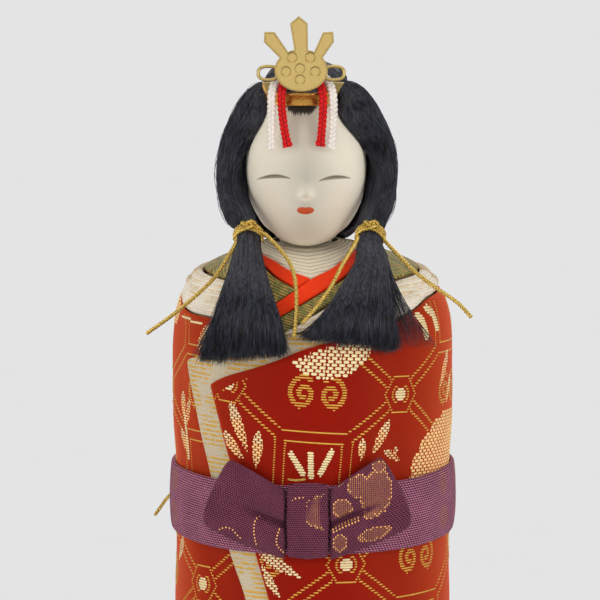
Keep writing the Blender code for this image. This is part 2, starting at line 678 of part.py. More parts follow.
def bow_loop_section(sign, u):
    """Closed section across a loop of the bow, at a share of its length from the knot."""
    front_row, back_row = [], []
    for v in BOW_WIDTH_SHARES:
        belly = math.sin(math.pi * math.sqrt(v)) * BOW_BELLY_SHARE * BOW_LOOP_LENGTH * u
        length = BOW_LOOP_LENGTH * mix(BOW_LOW_SHARE, BOW_HIGH_SHARE, v) + belly
        x = BOW_CENTRE_X + sign * (KNOT_HALF_WIDTH + FIT_GAP + u * length)
        z = SASH_CENTRE_HEIGHT - BOW_HEIGHT / 2 + v * BOW_HEIGHT * mix(BOW_ROOT_SHARE, 1.0, u)
        z += BOW_TILT_SHARE * BOW_LOOP_LENGTH * u
        puff = (1 - abs(2 * v - 1) ** 4) * (1 - BOW_RIM_SHARE * u ** 3)
        near = math.exp(-((v - 0.5) / BOW_CREASE_WIDTH_SHARE) ** 2)
        crease = BOW_CREASE_SHARE * near * (1 - smoothstep(0.35, 0.75, u))
        swell = BOW_LOOP_THICKNESS * mix(0.3, 1.0, puff) * (1 - crease)
        if u in (0.0, 1.0):
            swell *= BOW_RIM_SHARE
        back = bow_back(x)
        front_row.append((x, back - swell, z))
        back_row.append((x, back, z))
    return front_row + back_row[::-1]


def make_sash(purple, gold):
    bottom = SASH_CENTRE_HEIGHT - SASH_HEIGHT / 2
    top = SASH_CENTRE_HEIGHT + SASH_HEIGHT / 2

    def outer(angle, height):
        share = (height - bottom) / SASH_HEIGHT
        return sash_inner(angle) + SASH_THICKNESS + SASH_SWELL * math.sin(math.pi * share)

    cloth("obi", even(-180, 180, ROUND_STEP)[:-1], lambda a: bottom, lambda a: top, sash_inner, outer,
          purple, row_shares=OBI_ROW_SHARES, cyclic=True)
    for side, sign in (("left", -1), ("right", 1)):
        rings = [bow_loop_section(sign, u) for u in BOW_LENGTH_SHARES]
        loft("bow_loop_" + side, rings, purple, strip_caps=True)

    rings = []
    knot_top = SASH_CENTRE_HEIGHT + BOW_HEIGHT / 2 + 2 * FIT_GAP
    knot_bottom = SASH_CENTRE_HEIGHT - BOW_HEIGHT / 2 + FIT_GAP
    for v in KNOT_LENGTH_SHARES:
        z = mix(knot_bottom, knot_top, v)
        middle = 1 - abs(2 * v - 1)
        swell = KNOT_THICKNESS * (1 - BOW_RIM_SHARE * (1 - middle) ** 5)
        front_row, back_row = [], []
        for share in KNOT_WIDTH_SHARES:
            x = BOW_CENTRE_X + share * KNOT_HALF_WIDTH * mix(KNOT_END_SHARE, 1.0, middle)
            rim = KNOT_RIM_SHARE if abs(share) == 1 else 1.0
            front_row.append((x, bow_back(0) - swell * rim, z))
            back_row.append((x, bow_back(0), z))
        rings.append(front_row + back_row[::-1])
    loft("bow_knot", rings, purple, strip_caps=True)

    points = []
    for share in shares(0.0, 1.0, 6):
        x = BOW_CENTRE_X - KNOT_HALF_WIDTH * KNOT_END_SHARE + share * THREAD_LENGTH
        z = knot_top + FIT_GAP + THREAD_RADIUS * (2 - math.sin(math.pi * share))
        points.append((x, bow_back(0) - KNOT_THICKNESS / 2, z))
    tube("bow_thread", points, THREAD_RADIUS, gold)
    points = smooth_route(SASH_CORD_ROUTE, CORD_STEP_SHARE * 2 * SASH_CORD_RADIUS)
    tube("obi_cord", points, SASH_CORD_RADIUS, gold)


def head_ring(row):
    wide, front, back, heights = row
    return [head_point(turn, wide, front, back, heights) for turn in HEAD_COLUMNS]


def head_point(turn, wide, front, back, heights):
    angle = math.radians(turn)
    x = HEAD_HALF_WIDTH * wide * math.sin(angle)
    cosine = math.cos(angle)
    depth = FACE_DEPTH * front if cosine > 0 else SKULL_DEPTH * back
    y = -depth * cosine
    low_front, low_side, low_back = heights
    end = low_front if cosine > 0 else low_back
    z = CHIN_HEIGHT + HEAD_HEIGHT * mix(low_side, end, cosine * cosine)
    if cosine > 0:
        above = z - (CHIN_HEIGHT + HEAD_HEIGHT * NOSE_HEIGHT_SHARE)
        spread = NOSE_RISE if above > 0 else NOSE_UNDERCUT
        y -= NOSE_LENGTH * math.exp(-(x / NOSE_WIDTH) ** 2 - (above / spread) ** 2)
    return Vector((NECK_OFFSET + x, y, z))


HEAD_TABLES = tuple(
    [(row[3][1] * HEAD_HEIGHT + CHIN_HEIGHT, row[i]) for row in HEAD_SHARES] for i in range(3)
)


def on_head(turn, height, depth):
    """Point on the head at a turn from the front and a height, moved out by depth."""
    def surface(at_turn, at_height):
        wide, front, back = (table_at(table, at_height) for table in HEAD_TABLES)
        angle = math.radians(at_turn)
        side = FACE_DEPTH * front if math.cos(angle) > 0 else SKULL_DEPTH * back
        x = NECK_OFFSET + HEAD_HALF_WIDTH * wide * math.sin(angle)
        return Vector((x, -side * math.cos(angle), at_height))

    across = surface(turn + 1, height) - surface(turn - 1, height)
    up = surface(turn, min(height + SLOPE_STEP, HEAD_TABLES[0][-1][0])) - surface(turn, height - SLOPE_STEP)
    return surface(turn, height) + across.cross(up).normalized() * depth


def cut_away(item, name, cutter_shape):
    """Subtract a bmesh from an object and keep it as a wire cutter."""
    mesh = bpy.data.meshes.new(name)
    cutter_shape.to_mesh(mesh)
    cutter_shape.free()
    cutter = bpy.data.objects.new(name, mesh)
    cutter.hide_render = True
    cutter.display_type = "WIRE"
    bpy.context.scene.collection.objects.link(cutter)
    cut = item.modifiers.new(name, "BOOLEAN")
    cut.object = cutter
    cut.operation = "DIFFERENCE"
    cut.solver = "EXACT"
    return cut


def make_head(skin, seat_height):
    neck_bottom = seat_height + NECK_SEAT_GAP
    bore = PEG_RADIUS + PEG_CLEARANCE
    bore_top = seat_height - PEG_DEPTH_IN_BODY + PEG_LENGTH + BORE_END_CLEARANCE
    rings = [
        ring_at(NECK_OFFSET, 0, bore, bore_top, HEAD_COLUMNS),
        ring_at(NECK_OFFSET, 0, bore, neck_bottom, HEAD_COLUMNS),
        ring_at(NECK_OFFSET, 0, NECK_RADIUS, neck_bottom, HEAD_COLUMNS),
        ring_at(NECK_OFFSET, 0, NECK_RADIUS, CHIN_HEIGHT + NECK_TOP_SHARE * HEAD_HEIGHT, HEAD_COLUMNS),
    ]
    rings += [head_ring(row) for row in HEAD_SHARES]
    head = loft("head", rings, skin, origin=(NECK_OFFSET, 0, seat_height))
    shape = bmesh.new()
    made = bmesh.ops.create_cone(
        shape, cap_ends=True, segments=PEG_SIDES, radius1=PIN_RADIUS + PIN_CLEARANCE,
        radius2=PIN_RADIUS + PIN_CLEARANCE, depth=2 * (PIN_LENGTH + BORE_END_CLEARANCE))
    bmesh.ops.translate(shape, verts=made["verts"], vec=(CROWN_X, PIN_Y, pin_top()))
    cut_away(head, "pin_bore", shape)


def pin_top():
    return CUP_TOP - CUP_HEIGHT + CUP_FLOOR_RISE - CUP_WALL - FIT_GAP


def make_peg(bamboo, seat_height):
    bottom = seat_height - PEG_DEPTH_IN_BODY
    turns = even(-180, 180, 360 / PEG_SIDES)[:-1]
    loft("neck_peg", [
        ring_at(NECK_OFFSET, 0, PEG_RADIUS * PEG_POINT_SHARE, bottom, turns),
        ring_at(NECK_OFFSET, 0, PEG_RADIUS, bottom + PEG_POINT_LENGTH, turns),
        ring_at(NECK_OFFSET, 0, PEG_RADIUS, bottom + PEG_LENGTH - PEG_RADIUS / 3, turns),
        ring_at(NECK_OFFSET, 0, PEG_RADIUS * PEG_END_SHARE, bottom + PEG_LENGTH, turns),
    ], bamboo, origin=(NECK_OFFSET, 0, seat_height))


# Back hair: height as a share of HEAD_HEIGHT, then the turn where it starts and its
# thickness as a share of HAIR_BACK_THICKNESS. A start of 0 is a row that goes all around.
HAIR_BACK_SHARES = (
    (0.055, 122, 0.25), (0.09, 121, 0.55), (0.17, 119, 0.85), (0.30, 117, 0.95), (0.45, 115, 1.0),
    (0.60, 112, 1.0), (0.74, 106, 0.95), (0.85, 101, 0.85), (0.905, 96, 0.75), (0.909, 78, 0.70),
    (0.914, 60, 0.66), (0.919, 42, 0.63), (0.925, 22, 0.60), (0.932, 0, 0.58), (0.962, 0, 0.50),
    (0.983, 0, 0.45),
)
HAIR_POLE_SHARE = 0.42
# How far the hair comes down over the forehead, and the turns over which it does.
HAIR_FRONT_DIP_SHARE = 0.035
HAIR_FRONT_RAMP = (22.0, 62.0)
HAIR_FRONT_THIN_SHARE = 0.5
HAIR_RIM_SHARE = 0.55
# Upper part of a side sweep: height share, first and last turn, thickness share.
SWEEP_TOP_SHARES = (
    (0.885, 62, 92, 0.22), (0.855, 57, 96, 0.33), (0.80, 51, 98, 0.48), (0.735, 53, 100, 0.62),
    (0.66, 60, 103, 0.76), (0.58, 69, 106, 0.88),
)
# Lower part: centre x, y and height, then the half width across and along, as shares of
# TIE_X, TIE_Y, HEAD_HEIGHT and HAIR_SWEEP_THICKNESS, and how far the section leans.
SWEEP_LOW_SHARES = (
    (1.155, 0.14, 0.44, 0.47, 1.02, -0.25), (1.145, 0.30, 0.33, 0.48, 0.90, -0.1),
    (1.11, 0.53, 0.262, 0.44, 0.66, 0.25), (1.05, 0.74, 0.222, 0.37, 0.44, 0.6),
)
SWEEP_SECTION = 12
HAIR_BACK_COLUMNS = 19
# Sections of a lower sweep lean towards the tassel's side by this share.
SWEEP_TURN_SHARE = 0.12
SWEEP_END_LEAN_SHARE = 0.6
SWEEP_LIFT_SHARE = 0.55
# Tassel: share of its drop below the tie, then radius from the neck axis, half width and
# half thickness as shares of TASSEL_REACH and the two half sizes, and the centre's x as a
# share of TIE_X.
TASSEL_REACH = CHEST_RADIUS + PANEL_FRONT_INNER + PANEL_FRONT_THICKNESS - NECK_OFFSET / 2 + TASSEL_CLEARANCE
TASSEL_SHARES = (
    (0.19, 0.705, 0.32, 0.95), (0.29, 0.775, 0.41, 1.0), (0.41, 0.860, 0.53, 1.0), (0.54, 0.935, 0.66, 1.0),
    (0.68, 0.985, 0.79, 0.95), (0.84, 1.0, 0.92, 0.85), (0.97, 1.0, 1.0, 0.72), (1.0, 1.0, 0.98, 0.45),
)
TASSEL_PATH_SHARES = {
    "left": (-0.91, -0.88, -0.87, -0.88, -0.90, -0.93, -0.95, -0.95),
    "right": (0.95, 0.91, 0.85, 0.79, 0.73, 0.68, 0.65, 0.65),
}
# Drop of each tassel as a share of TASSEL_DROP, and how far its end slants down to the right.
TASSEL_DROP_SHARES = {"left": (1.0, 0.0), "right": (0.85, 0.18)}


def tie_frame(sign):
    """Centre of a hair tie, and the directions down its tassel, to the right and to the front."""
    centre = Vector((NECK_OFFSET + sign * TIE_X, TIE_Y, TIE_HEIGHT))
    outward = Vector((sign * TIE_X, TIE_Y, 0)).normalized()
    down = (outward * TIE_LEAN_SHARE + Vector((0, 0, -1))).normalized()
    right = Vector((1, 0, 0))
    right = (right - down * right.dot(down)).normalized()
    return centre, down, right, down.cross(right)


def around(middle, first, second, radius, turns):
    """Circle of points in the plane of two directions, at turns in radians from the first."""
    return [middle + (first * math.cos(turn) + second * math.sin(turn)) * radius for turn in turns]


def make_hair_back(hair):
    """Hair shell: open at the face in its lower rows and whole around the top."""
    shape = bmesh.new()
    outer_rows, inner_rows = [], []
    for share, start, thick in HAIR_BACK_SHARES:
        outer_row, inner_row = [], []
        closed = start == 0
        for i in range(HAIR_BACK_COLUMNS - closed):
            u = i / (HAIR_BACK_COLUMNS - 1)
            turn = mix(start, 360 - start, u)
            forehead = 1 - smoothstep(*HAIR_FRONT_RAMP, min(turn, 360 - turn))
            dip = HAIR_FRONT_DIP_SHARE * forehead * min(1.0, (1 - share) / (1 - HAIR_BACK_SHARES[-3][0]))
            height = CHIN_HEIGHT + (share - dip) * HEAD_HEIGHT
            rim = 1.0 if closed else 1 - HAIR_RIM_SHARE * abs(2 * u - 1) ** 8
            proud = HAIR_GAP + HAIR_BACK_THICKNESS * thick * rim * (1 - HAIR_FRONT_THIN_SHARE * forehead)
            outer_row.append(shape.verts.new(on_head(turn, height, proud)))
            inner_row.append(shape.verts.new(on_head(turn, height, HAIR_GAP)))
        if closed:
            outer_row.append(outer_row[0])
            inner_row.append(inner_row[0])
        outer_rows.append(outer_row)
        inner_rows.append(inner_row)
    rows = list(zip(outer_rows, inner_rows))
    for (outer, inner), (outer_up, inner_up) in zip(rows, rows[1:]):
        for i in range(HAIR_BACK_COLUMNS - 1):
            shape.faces.new((outer[i], outer[i + 1], outer_up[i + 1], outer_up[i]))
            shape.faces.new((inner[i + 1], inner[i], inner_up[i], inner_up[i + 1]))
        if outer[0] is not outer[-1]:
            shape.faces.new((outer[0], outer_up[0], inner_up[0], inner[0]))
            shape.faces.new((outer[-1], inner[-1], inner_up[-1], outer_up[-1]))
    outer, inner = rows[0]
    for i in range(HAIR_BACK_COLUMNS - 1):
        shape.faces.new((outer[i], inner[i], inner[i + 1], outer[i + 1]))
    inner_top = CHIN_HEIGHT + HEAD_HEIGHT + HAIR_GAP
    outer_top = inner_top + HAIR_BACK_THICKNESS * HAIR_POLE_SHARE
    for row, top in ((outer_rows[-1], outer_top), (inner_rows[-1], inner_top)):
        pole = shape.verts.new((NECK_OFFSET, 0, top))
        for i in range(HAIR_BACK_COLUMNS - 1):
            shape.faces.new((row[i], row[i + 1], pole))
    finish_mesh("hair_back", shape, hair, (NECK_OFFSET, 0, COLLAR_TOP))


def make_hair(hair):
    turns = [math.tau * i / SWEEP_SECTION for i in range(SWEEP_SECTION)]
    for side, sign in (("left", -1), ("right", 1)):
        rings = []
        for share, first, last, thick in SWEEP_TOP_SHARES:
            height = CHIN_HEIGHT + share * HEAD_HEIGHT
            ring = []
            for angle in turns:
                turn = mix(first, last, 0.5 - 0.5 * math.cos(angle))
                lift = HAIR_SWEEP_THICKNESS * thick * max(0.0, math.sin(angle)) ** SWEEP_LIFT_SHARE
                ring.append(on_head(sign * turn, height, HAIR_GAP + lift))
            rings.append(ring)
        for x, y, share, wide, long, lean in SWEEP_LOW_SHARES:
            middle = Vector((NECK_OFFSET + sign * TIE_X * x, TIE_Y * y, CHIN_HEIGHT + share * HEAD_HEIGHT))
            along = Vector((0, -1, lean)).normalized() * long
            across = Vector((sign, -SWEEP_TURN_SHARE, 0)) * wide
            rings.append(around(middle, along, across, HAIR_SWEEP_THICKNESS, turns))
        centre, down, right, _ = tie_frame(sign)
        end = centre - down * (WINDING_TURNS * WINDING_PITCH / 2 + FIT_GAP)
        along = Vector((0, -1, SWEEP_END_LEAN_SHARE)).normalized()
        across = down.cross(along).normalized()
        if across.x * sign < 0:
            across = -across
        along = across.cross(down).normalized()
        if along.y > 0:
            along = -along
        rings.append(around(end, along, across, TIE_RADIUS, turns))
        loft("hair_sweep_" + side, rings, hair, origin=(NECK_OFFSET, 0, COLLAR_TOP))


def make_tassels(hair, gold):
    turns = [math.tau * i / SWEEP_SECTION for i in range(SWEEP_SECTION)]
    origin = (NECK_OFFSET, 0, COLLAR_TOP)
    half_winding = WINDING_TURNS * WINDING_PITCH / 2
    coil_radius = TIE_RADIUS + FIT_GAP + GOLD_CORD_RADIUS
    for side, sign in (("left", -1), ("right", 1)):
        centre, down, right, outward = tie_frame(sign)
        rings = [
            around(centre - down * half_winding, right, outward, TIE_RADIUS, turns),
            around(centre + down * (half_winding + GOLD_CORD_RADIUS), right, outward, TIE_RADIUS, turns),
        ]
        end_share, slant = TASSEL_DROP_SHARES[side]
        for (drop, reach, wide, thick), path in zip(TASSEL_SHARES, TASSEL_PATH_SHARES[side]):
            ring = []
            for angle in turns:
                x = path * TIE_X + TASSEL_HALF_WIDTH * wide * math.cos(angle)
                radius = TASSEL_REACH * reach + TASSEL_HALF_THICKNESS * thick * (1 + math.sin(angle))
                z = TIE_HEIGHT - TASSEL_DROP * drop * mix(1.0, end_share, drop ** 3)
                z -= TASSEL_HALF_WIDTH * wide * math.cos(angle) * slant * drop ** 3
                ring.append(Vector((NECK_OFFSET + x, -math.sqrt(radius * radius - x * x), z)))
            rings.append(ring)
        loft("tassel_" + side, rings, hair, origin=origin)

        points = []
        for i in range(round(WINDING_TURNS * POINTS_PER_TURN) + 1):
            turn = i / POINTS_PER_TURN
            middle = centre + down * (turn - WINDING_TURNS / 2) * WINDING_PITCH
            points += around(middle, right, outward, coil_radius, [math.tau * turn])
        tube("tie_winding_" + side, points, GOLD_CORD_RADIUS, gold, resolution=1, origin=origin)
        report_self_gap("tie_winding_" + side, points, GOLD_CORD_RADIUS)
    for name, route in GOLD_ROUTES.items():
        spacing = CORD_STEP_SHARE * 2 * GOLD_CORD_RADIUS
        tube(name, smooth_route(route, spacing), GOLD_CORD_RADIUS, gold, origin=origin)


def report_self_gap(name, points, radius):
    """Print the least gap between turns, on points at least half a turn apart."""
    least = min(
        (a - b).length
        for i, a in enumerate(points)
        for b in points[i + POINTS_PER_TURN // 2:]
    )
    print(f"{name}: least gap to itself {(least - 2 * radius) / MM:.2f} mm")


def plate_point(across, up, depth):
    """Point on the crown plate, which leans back about its lower edge."""
    rise = up + DISC_HALF_HEIGHT
    lean, stand = math.sin(PLATE_TILT), math.cos(PLATE_TILT)
    y = DISC_Y - DISC_HALF_HEIGHT * math.tan(PLATE_TILT) + rise * lean + depth * stand
    z = DISC_HEIGHT - DISC_HALF_HEIGHT + rise * stand - depth * lean
    return Vector((CROWN_X + across, y, z))


def plate_outline():
    """Outline of the disc and its three pointed rays, clockwise from the bottom."""
    rays = []
    for angle, length, wide in (
        (-SIDE_RAY_ANGLE, SIDE_RAY_LENGTH, SIDE_RAY_HALF_WIDTH), (0.0, RAY_LENGTH, RAY_HALF_WIDTH),
        (SIDE_RAY_ANGLE, SIDE_RAY_LENGTH, SIDE_RAY_HALF_WIDTH),
    ):
        root = math.asin(wide * RAY_ROOT_SHARE / DISC_HALF_HEIGHT)
        rays.append((angle - root, angle + root, angle, length, wide))
    points, drawn = [], set()
    for i in range(PLATE_STEPS):
        turn = -math.pi + math.tau * (i + 0.5) / PLATE_STEPS
        ray = next((ray for ray in rays if ray[0] - RAY_MARGIN < turn < ray[1] + RAY_MARGIN), None)
        if ray is None:
            points.append((DISC_HALF_WIDTH * math.sin(turn), DISC_HALF_HEIGHT * math.cos(turn)))
            continue
        if ray in drawn:
            continue
        drawn.add(ray)
        first, last, angle, length, wide = ray
        axis = Vector((math.sin(angle), math.cos(angle)))
        side = Vector((math.cos(angle), -math.sin(angle)))
        points.append((DISC_HALF_WIDTH * math.sin(first), DISC_HALF_HEIGHT * math.cos(first)))
        shoulder = RAY_SHOULDER_SHARE * length
        for along, across in ((shoulder, -wide), (length, 0.0), (shoulder, wide)):
            points.append(tuple(axis * along + side * across))
        points.append((DISC_HALF_WIDTH * math.sin(last), DISC_HALF_HEIGHT * math.cos(last)))
    return points


def cup_section(angle):
    """Closed section of the cup's wall and floor rim, at an angle from the front."""
    turn = math.radians(angle)
    raised = CUP_WING_RISE * smoothstep(62, CUP_END, abs(angle))
    low = CUP_TOP - CUP_HEIGHT + raised * CUP_WING_LOW_SHARE
    floor = low + CUP_FLOOR_RISE
    top = CUP_TOP + raised
    floor_width = mix(CUP_FLOOR_WIDTH, 2 * CUP_WALL, smoothstep(30, 62, abs(angle)))
    wing = CUP_WALL * smoothstep(70, CUP_END, abs(angle))
    section = (
        (CUP_FLARE, top), (CUP_FLARE + CUP_LIP / 2, top - CUP_LIP),
        (CUP_FLARE * CUP_WAIST_SHARE, mix(low, top, CUP_WAIST_SHARE)), (CUP_LIP, low + 2 * CUP_LIP),
        (CUP_LIP, low + CUP_LIP / 2), (0.0, low), (-CUP_WALL, low + CUP_LIP), (-CUP_WALL, floor - CUP_WALL),
        (-floor_width, floor - CUP_WALL), (-floor_width, floor), (-CUP_WALL, floor),
        (CUP_FLARE - CUP_WALL, top),
    )
    ring = []
    for outward, height in section:
        wide = CUP_HALF_WIDTH - CUP_FLARE + outward + wing
        deep = CUP_HALF_DEPTH - CUP_FLARE + outward
        ring.append((CROWN_X + wide * math.sin(turn), CUP_CENTRE_Y - deep * math.cos(turn), height))
    return ring


def make_crown(gold, red, white):
    origin = Vector((CROWN_X, PIN_Y, CUP_TOP))
    shape = bmesh.new()
    front = [plate_point(across, up, -PLATE_THICKNESS / 2) for across, up in plate_outline()]
    face = shape.faces.new([shape.verts.new(point) for point in front])
    grown = bmesh.ops.extrude_face_region(shape, geom=[face])
    back = [v for v in grown["geom"] if isinstance(v, bmesh.types.BMVert)]
    normal = plate_point(0, 0, 1) - plate_point(0, 0, 0)
    bmesh.ops.translate(shape, verts=back, vec=normal * PLATE_THICKNESS)
    plate = finish_mesh("crown_plate", shape, gold, origin, smooth=False)
    bevel = plate.modifiers.new("worn edge", "BEVEL")
    bevel.width = PLATE_BEVEL
    bevel.segments = 1
    bevel.limit_method = "ANGLE"
    bevel.angle_limit = math.radians(40)

    shape = bmesh.new()
    ball = (DIMPLE_RADIUS ** 2 + DIMPLE_DEPTH ** 2) / (2 * DIMPLE_DEPTH)
    for across, up in DIMPLE_SHARES:
        depth = -PLATE_THICKNESS / 2 - ball + DIMPLE_DEPTH
        centre = plate_point(across * DISC_HALF_WIDTH, up * DISC_HALF_HEIGHT, depth)
        place = Matrix.Translation(centre) @ Matrix.Rotation(math.pi / 2 - PLATE_TILT, 4, "X")
        bmesh.ops.create_uvsphere(shape, u_segments=12, v_segments=14, radius=ball, matrix=place)
    cut_away(plate, "dimples", shape).use_self = True

    behind = PLATE_THICKNESS / 2 + FIT_GAP + LOOP_WIRE_RADIUS
    for side, sign in (("left", -1), ("right", 1)):
        points = []
        for i in range(LOOP_STEPS):
            cosine, sine = (
                math.copysign(abs(value) ** LOOP_SQUARE_SHARE, value)
                for value in (math.cos(math.tau * i / LOOP_STEPS), math.sin(math.tau * i / LOOP_STEPS))
            )
            across = sign * (DISC_HALF_WIDTH + LOOP_HALF_LENGTH * LOOP_OUT_SHARE) + LOOP_HALF_LENGTH * cosine
            points.append(plate_point(across, LOOP_HALF_HEIGHT * sine - LOOP_DROP, behind))
        tube("crown_loop_" + side, points, LOOP_WIRE_RADIUS, gold, resolution=1, origin=origin, cyclic=True)

    loft("crown_cup", [cup_section(angle) for angle in even(-CUP_END, CUP_END, ROUND_STEP)], gold, origin=origin)
    turns = even(-180, 180, 360 / PIN_SIDES)[:-1]
    loft("crown_pin", [
        ring_at(CROWN_X, PIN_Y, PIN_RADIUS / 3, pin_top() - PIN_LENGTH, turns),
        ring_at(CROWN_X, PIN_Y, PIN_RADIUS, pin_top() - PIN_LENGTH + 3 * PIN_RADIUS, turns),
        ring_at(CROWN_X, PIN_Y, PIN_RADIUS, pin_top(), turns),
    ], gold, origin=origin)
    for name, surface in (("red_cord", red), ("white_cord", white)):
        points = smooth_route(BRAID_ROUTES[name], BRAID_STEP_SHARE * 2 * BRAID_RADIUS)
        tube(name, points, BRAID_RADIUS, surface, origin=origin)


def main():
    clear_scene()
    red = material("red_brocade", (0.62, 0.06, 0.015), 0.6)
    pale = material("white_gold_cloth", (0.72, 0.66, 0.52), 0.7)
    green = material("green_gold_cloth", (0.20, 0.24, 0.06), 0.6)
    tan = material("tan_cloth", (0.55, 0.44, 0.30), 0.7)
    scarlet = material("scarlet_cloth", (0.75, 0.05, 0.02), 0.6)
    cream = material("ribbed_white_cloth", (0.72, 0.68, 0.60), 0.7)
    purple = material("purple_cloth", (0.16, 0.035, 0.085), 0.65)
    gold_thread = material("gold_thread", (0.72, 0.48, 0.10), 0.35, 0.6)
    skin = material("shell_white", (0.80, 0.77, 0.68), 0.35)
    silk = material("black_silk", (0.012, 0.013, 0.022), 0.4)
    brass = material("gold_plate", (0.75, 0.55, 0.22), 0.3, 1.0)
    red_silk = material("red_braid", (0.60, 0.01, 0.015), 0.55)
    white_silk = material("white_braid", (0.82, 0.80, 0.78), 0.6)
    straw = material("moulded_core", (0.55, 0.44, 0.28), 0.8)
    felt = material("base_felt", (0.10, 0.09, 0.09), 0.9)
    bamboo = material("bamboo", (0.60, 0.45, 0.22), 0.5)
    seat_height = make_core(straw)
    make_base(felt)
    make_robes(red, pale)
    make_collars(cream, pale, scarlet, green, tan)
    make_sash(purple, gold_thread)
    make_peg(bamboo, seat_height)
    make_head(skin, seat_height)
    make_hair_back(silk)
    make_hair(silk)
    make_tassels(silk, gold_thread)
    make_crown(brass, red_silk, white_silk)


main()
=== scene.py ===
import math
import random

import bmesh
import bpy
import numpy as np
from mathutils import Matrix, Vector, noise


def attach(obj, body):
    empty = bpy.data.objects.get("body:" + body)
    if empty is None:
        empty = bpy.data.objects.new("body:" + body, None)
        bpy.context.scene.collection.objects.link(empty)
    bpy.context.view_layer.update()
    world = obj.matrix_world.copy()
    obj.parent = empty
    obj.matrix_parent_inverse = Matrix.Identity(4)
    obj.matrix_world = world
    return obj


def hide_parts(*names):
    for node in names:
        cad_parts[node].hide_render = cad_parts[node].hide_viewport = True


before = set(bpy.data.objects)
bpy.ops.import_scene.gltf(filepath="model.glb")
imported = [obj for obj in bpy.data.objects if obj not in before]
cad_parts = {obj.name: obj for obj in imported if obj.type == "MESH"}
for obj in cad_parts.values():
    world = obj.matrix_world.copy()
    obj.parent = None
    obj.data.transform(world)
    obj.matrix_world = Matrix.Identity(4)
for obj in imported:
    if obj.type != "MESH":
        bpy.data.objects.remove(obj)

bl_info = {
    "name": "Hina Doll",
    "version": (1, 0, 0),
    "blender": (4, 5, 0),
    "location": "View3D > Sidebar > Doll",
    "description": "Dresses the fixed frame of a standing round-bodied hina doll in cloth, hair and gilt",
    "category": "Object",
}

MM = 0.001
SIDES = (("left", -1), ("right", 1))

# Trunk, in millimetres: radius and height tables shared with the solids.
CHEST = 37.8
COLLAR_TOP = 157.9
DOME = 30.0
SHOULDER = 127.9
NECK_X = -1.8
GAP = 0.3
HEM = 0.7
SASH_Z = 88.9
SASH_TALL = 18.8
TRUNK = ((0.989, 0.0), (0.989, 0.46), (0.979, 0.61), (0.979, 0.765), (1.0, 0.875), (1.0, 0.995))
SHOULDERS = (
    (0.987, 0.27), (0.952, 0.47), (0.873, 0.637), (0.754, 0.77), (0.608, 0.857), (0.450, 0.933),
    (0.317, 0.977), (0.225, 1.0),
)

# Edges of the collars and robes: angle from the front and drop below the neck.
WHITE_EDGE = ((-24, 0.520), (-12, 0.353), (0, 0.220), (15, 0.150), (29, 0.097), (60, 0.050), (90, 0.040),
              (180, 0.037))
RED_EDGE = ((-24, 0.647), (-13, 0.510), (0, 0.360), (15, 0.235), (38, 0.117), (60, 0.090), (90, 0.083),
            (180, 0.077))
GREEN_EDGE = ((-24, 0.820), (-11, 0.653), (0, 0.503), (15, 0.363), (40, 0.277), (60, 0.257), (90, 0.250),
              (180, 0.230))
PANEL_TOP = ((-50, 1.37), (-44, 1.26), (-30.5, 1.08), (-17.4, 0.970), (-9, 0.89), (-1, 0.80), (7, 0.74),
             (13, 0.707), (30, 0.613),
             (45, 0.540), (64, 0.443), (90, 0.423), (180, 0.380))
LINING_TOP = ((-64, 1.08), (-56, 1.01), (-26, 0.80), (-9, 0.675), (12, 0.620))
UNDER_TOP = ((-180, 0.380), (-100, 0.415), (-88, 0.440), (-72, 0.560), (-60, 0.585), (-48, 0.585),
             (-40, 0.610), (-24, 0.790), (12, 0.760))
PANEL_EDGE = ((0, 9), (0.30, -7.5), (0.52, -17.7), (0.61, -23.1), (0.81, -35), (0.89, -39.4),
              (0.965, -44.3))
LINING_EDGE = ((0, -3.5), (0.30, -18.5), (0.52, -28.9), (0.61, -36.5), (0.76, -47), (0.86, -52.7),
               (0.99, -62.4))
SPLIT = -22.5
ROLL_END = 88.0
RIB = 0.72

# Head and hair.
CHIN = 158.2
HEAD_TALL = 43.2
HEAD_HALF = 16.3
FACE_DEPTH = 19.2
SKULL_DEPTH = 18.0
HAIR_GAP = 0.45
HEAD_ROWS = (
    (0.43, 0.365, 0.39, -0.047, -0.047, -0.047), (0.43, 0.365, 0.39, 0.018, 0.030, 0.030),
    (0.50, 0.62, 0.42, -0.004, 0.028, 0.042), (0.56, 0.80, 0.50, 0.004, 0.060, 0.075),
    (0.72, 0.905, 0.62, 0.045, 0.105, 0.120), (0.80, 0.955, 0.72, 0.115, 0.150, 0.165),
    (0.865, 0.985, 0.80, 0.185, 0.195, 0.205), (0.91, 1.0, 0.85, 0.235, 0.235, 0.235),
    (0.94, 1.005, 0.885, 0.275, 0.275, 0.275), (0.962, 1.006, 0.91, 0.312, 0.312, 0.312),
    (0.978, 1.004, 0.93, 0.350, 0.350, 0.350), (0.994, 0.996, 0.96, 0.410, 0.410, 0.410),
    (1.0, 0.988, 0.98, 0.470, 0.470, 0.470), (0.995, 0.978, 0.995, 0.540, 0.540, 0.540),
    (0.968, 0.960, 1.0, 0.630, 0.630, 0.630), (0.905, 0.915, 0.965, 0.725, 0.725, 0.725),
    (0.80, 0.83, 0.87, 0.815, 0.815, 0.815), (0.65, 0.69, 0.715, 0.89, 0.89, 0.89),
    (0.47, 0.50, 0.52, 0.945, 0.945, 0.945), (0.27, 0.29, 0.30, 0.982, 0.982, 0.982),
    (0.08, 0.085, 0.09, 0.999, 0.999, 0.999), (0.0, 0.0, 0.0, 1.0, 1.0, 1.0),
)
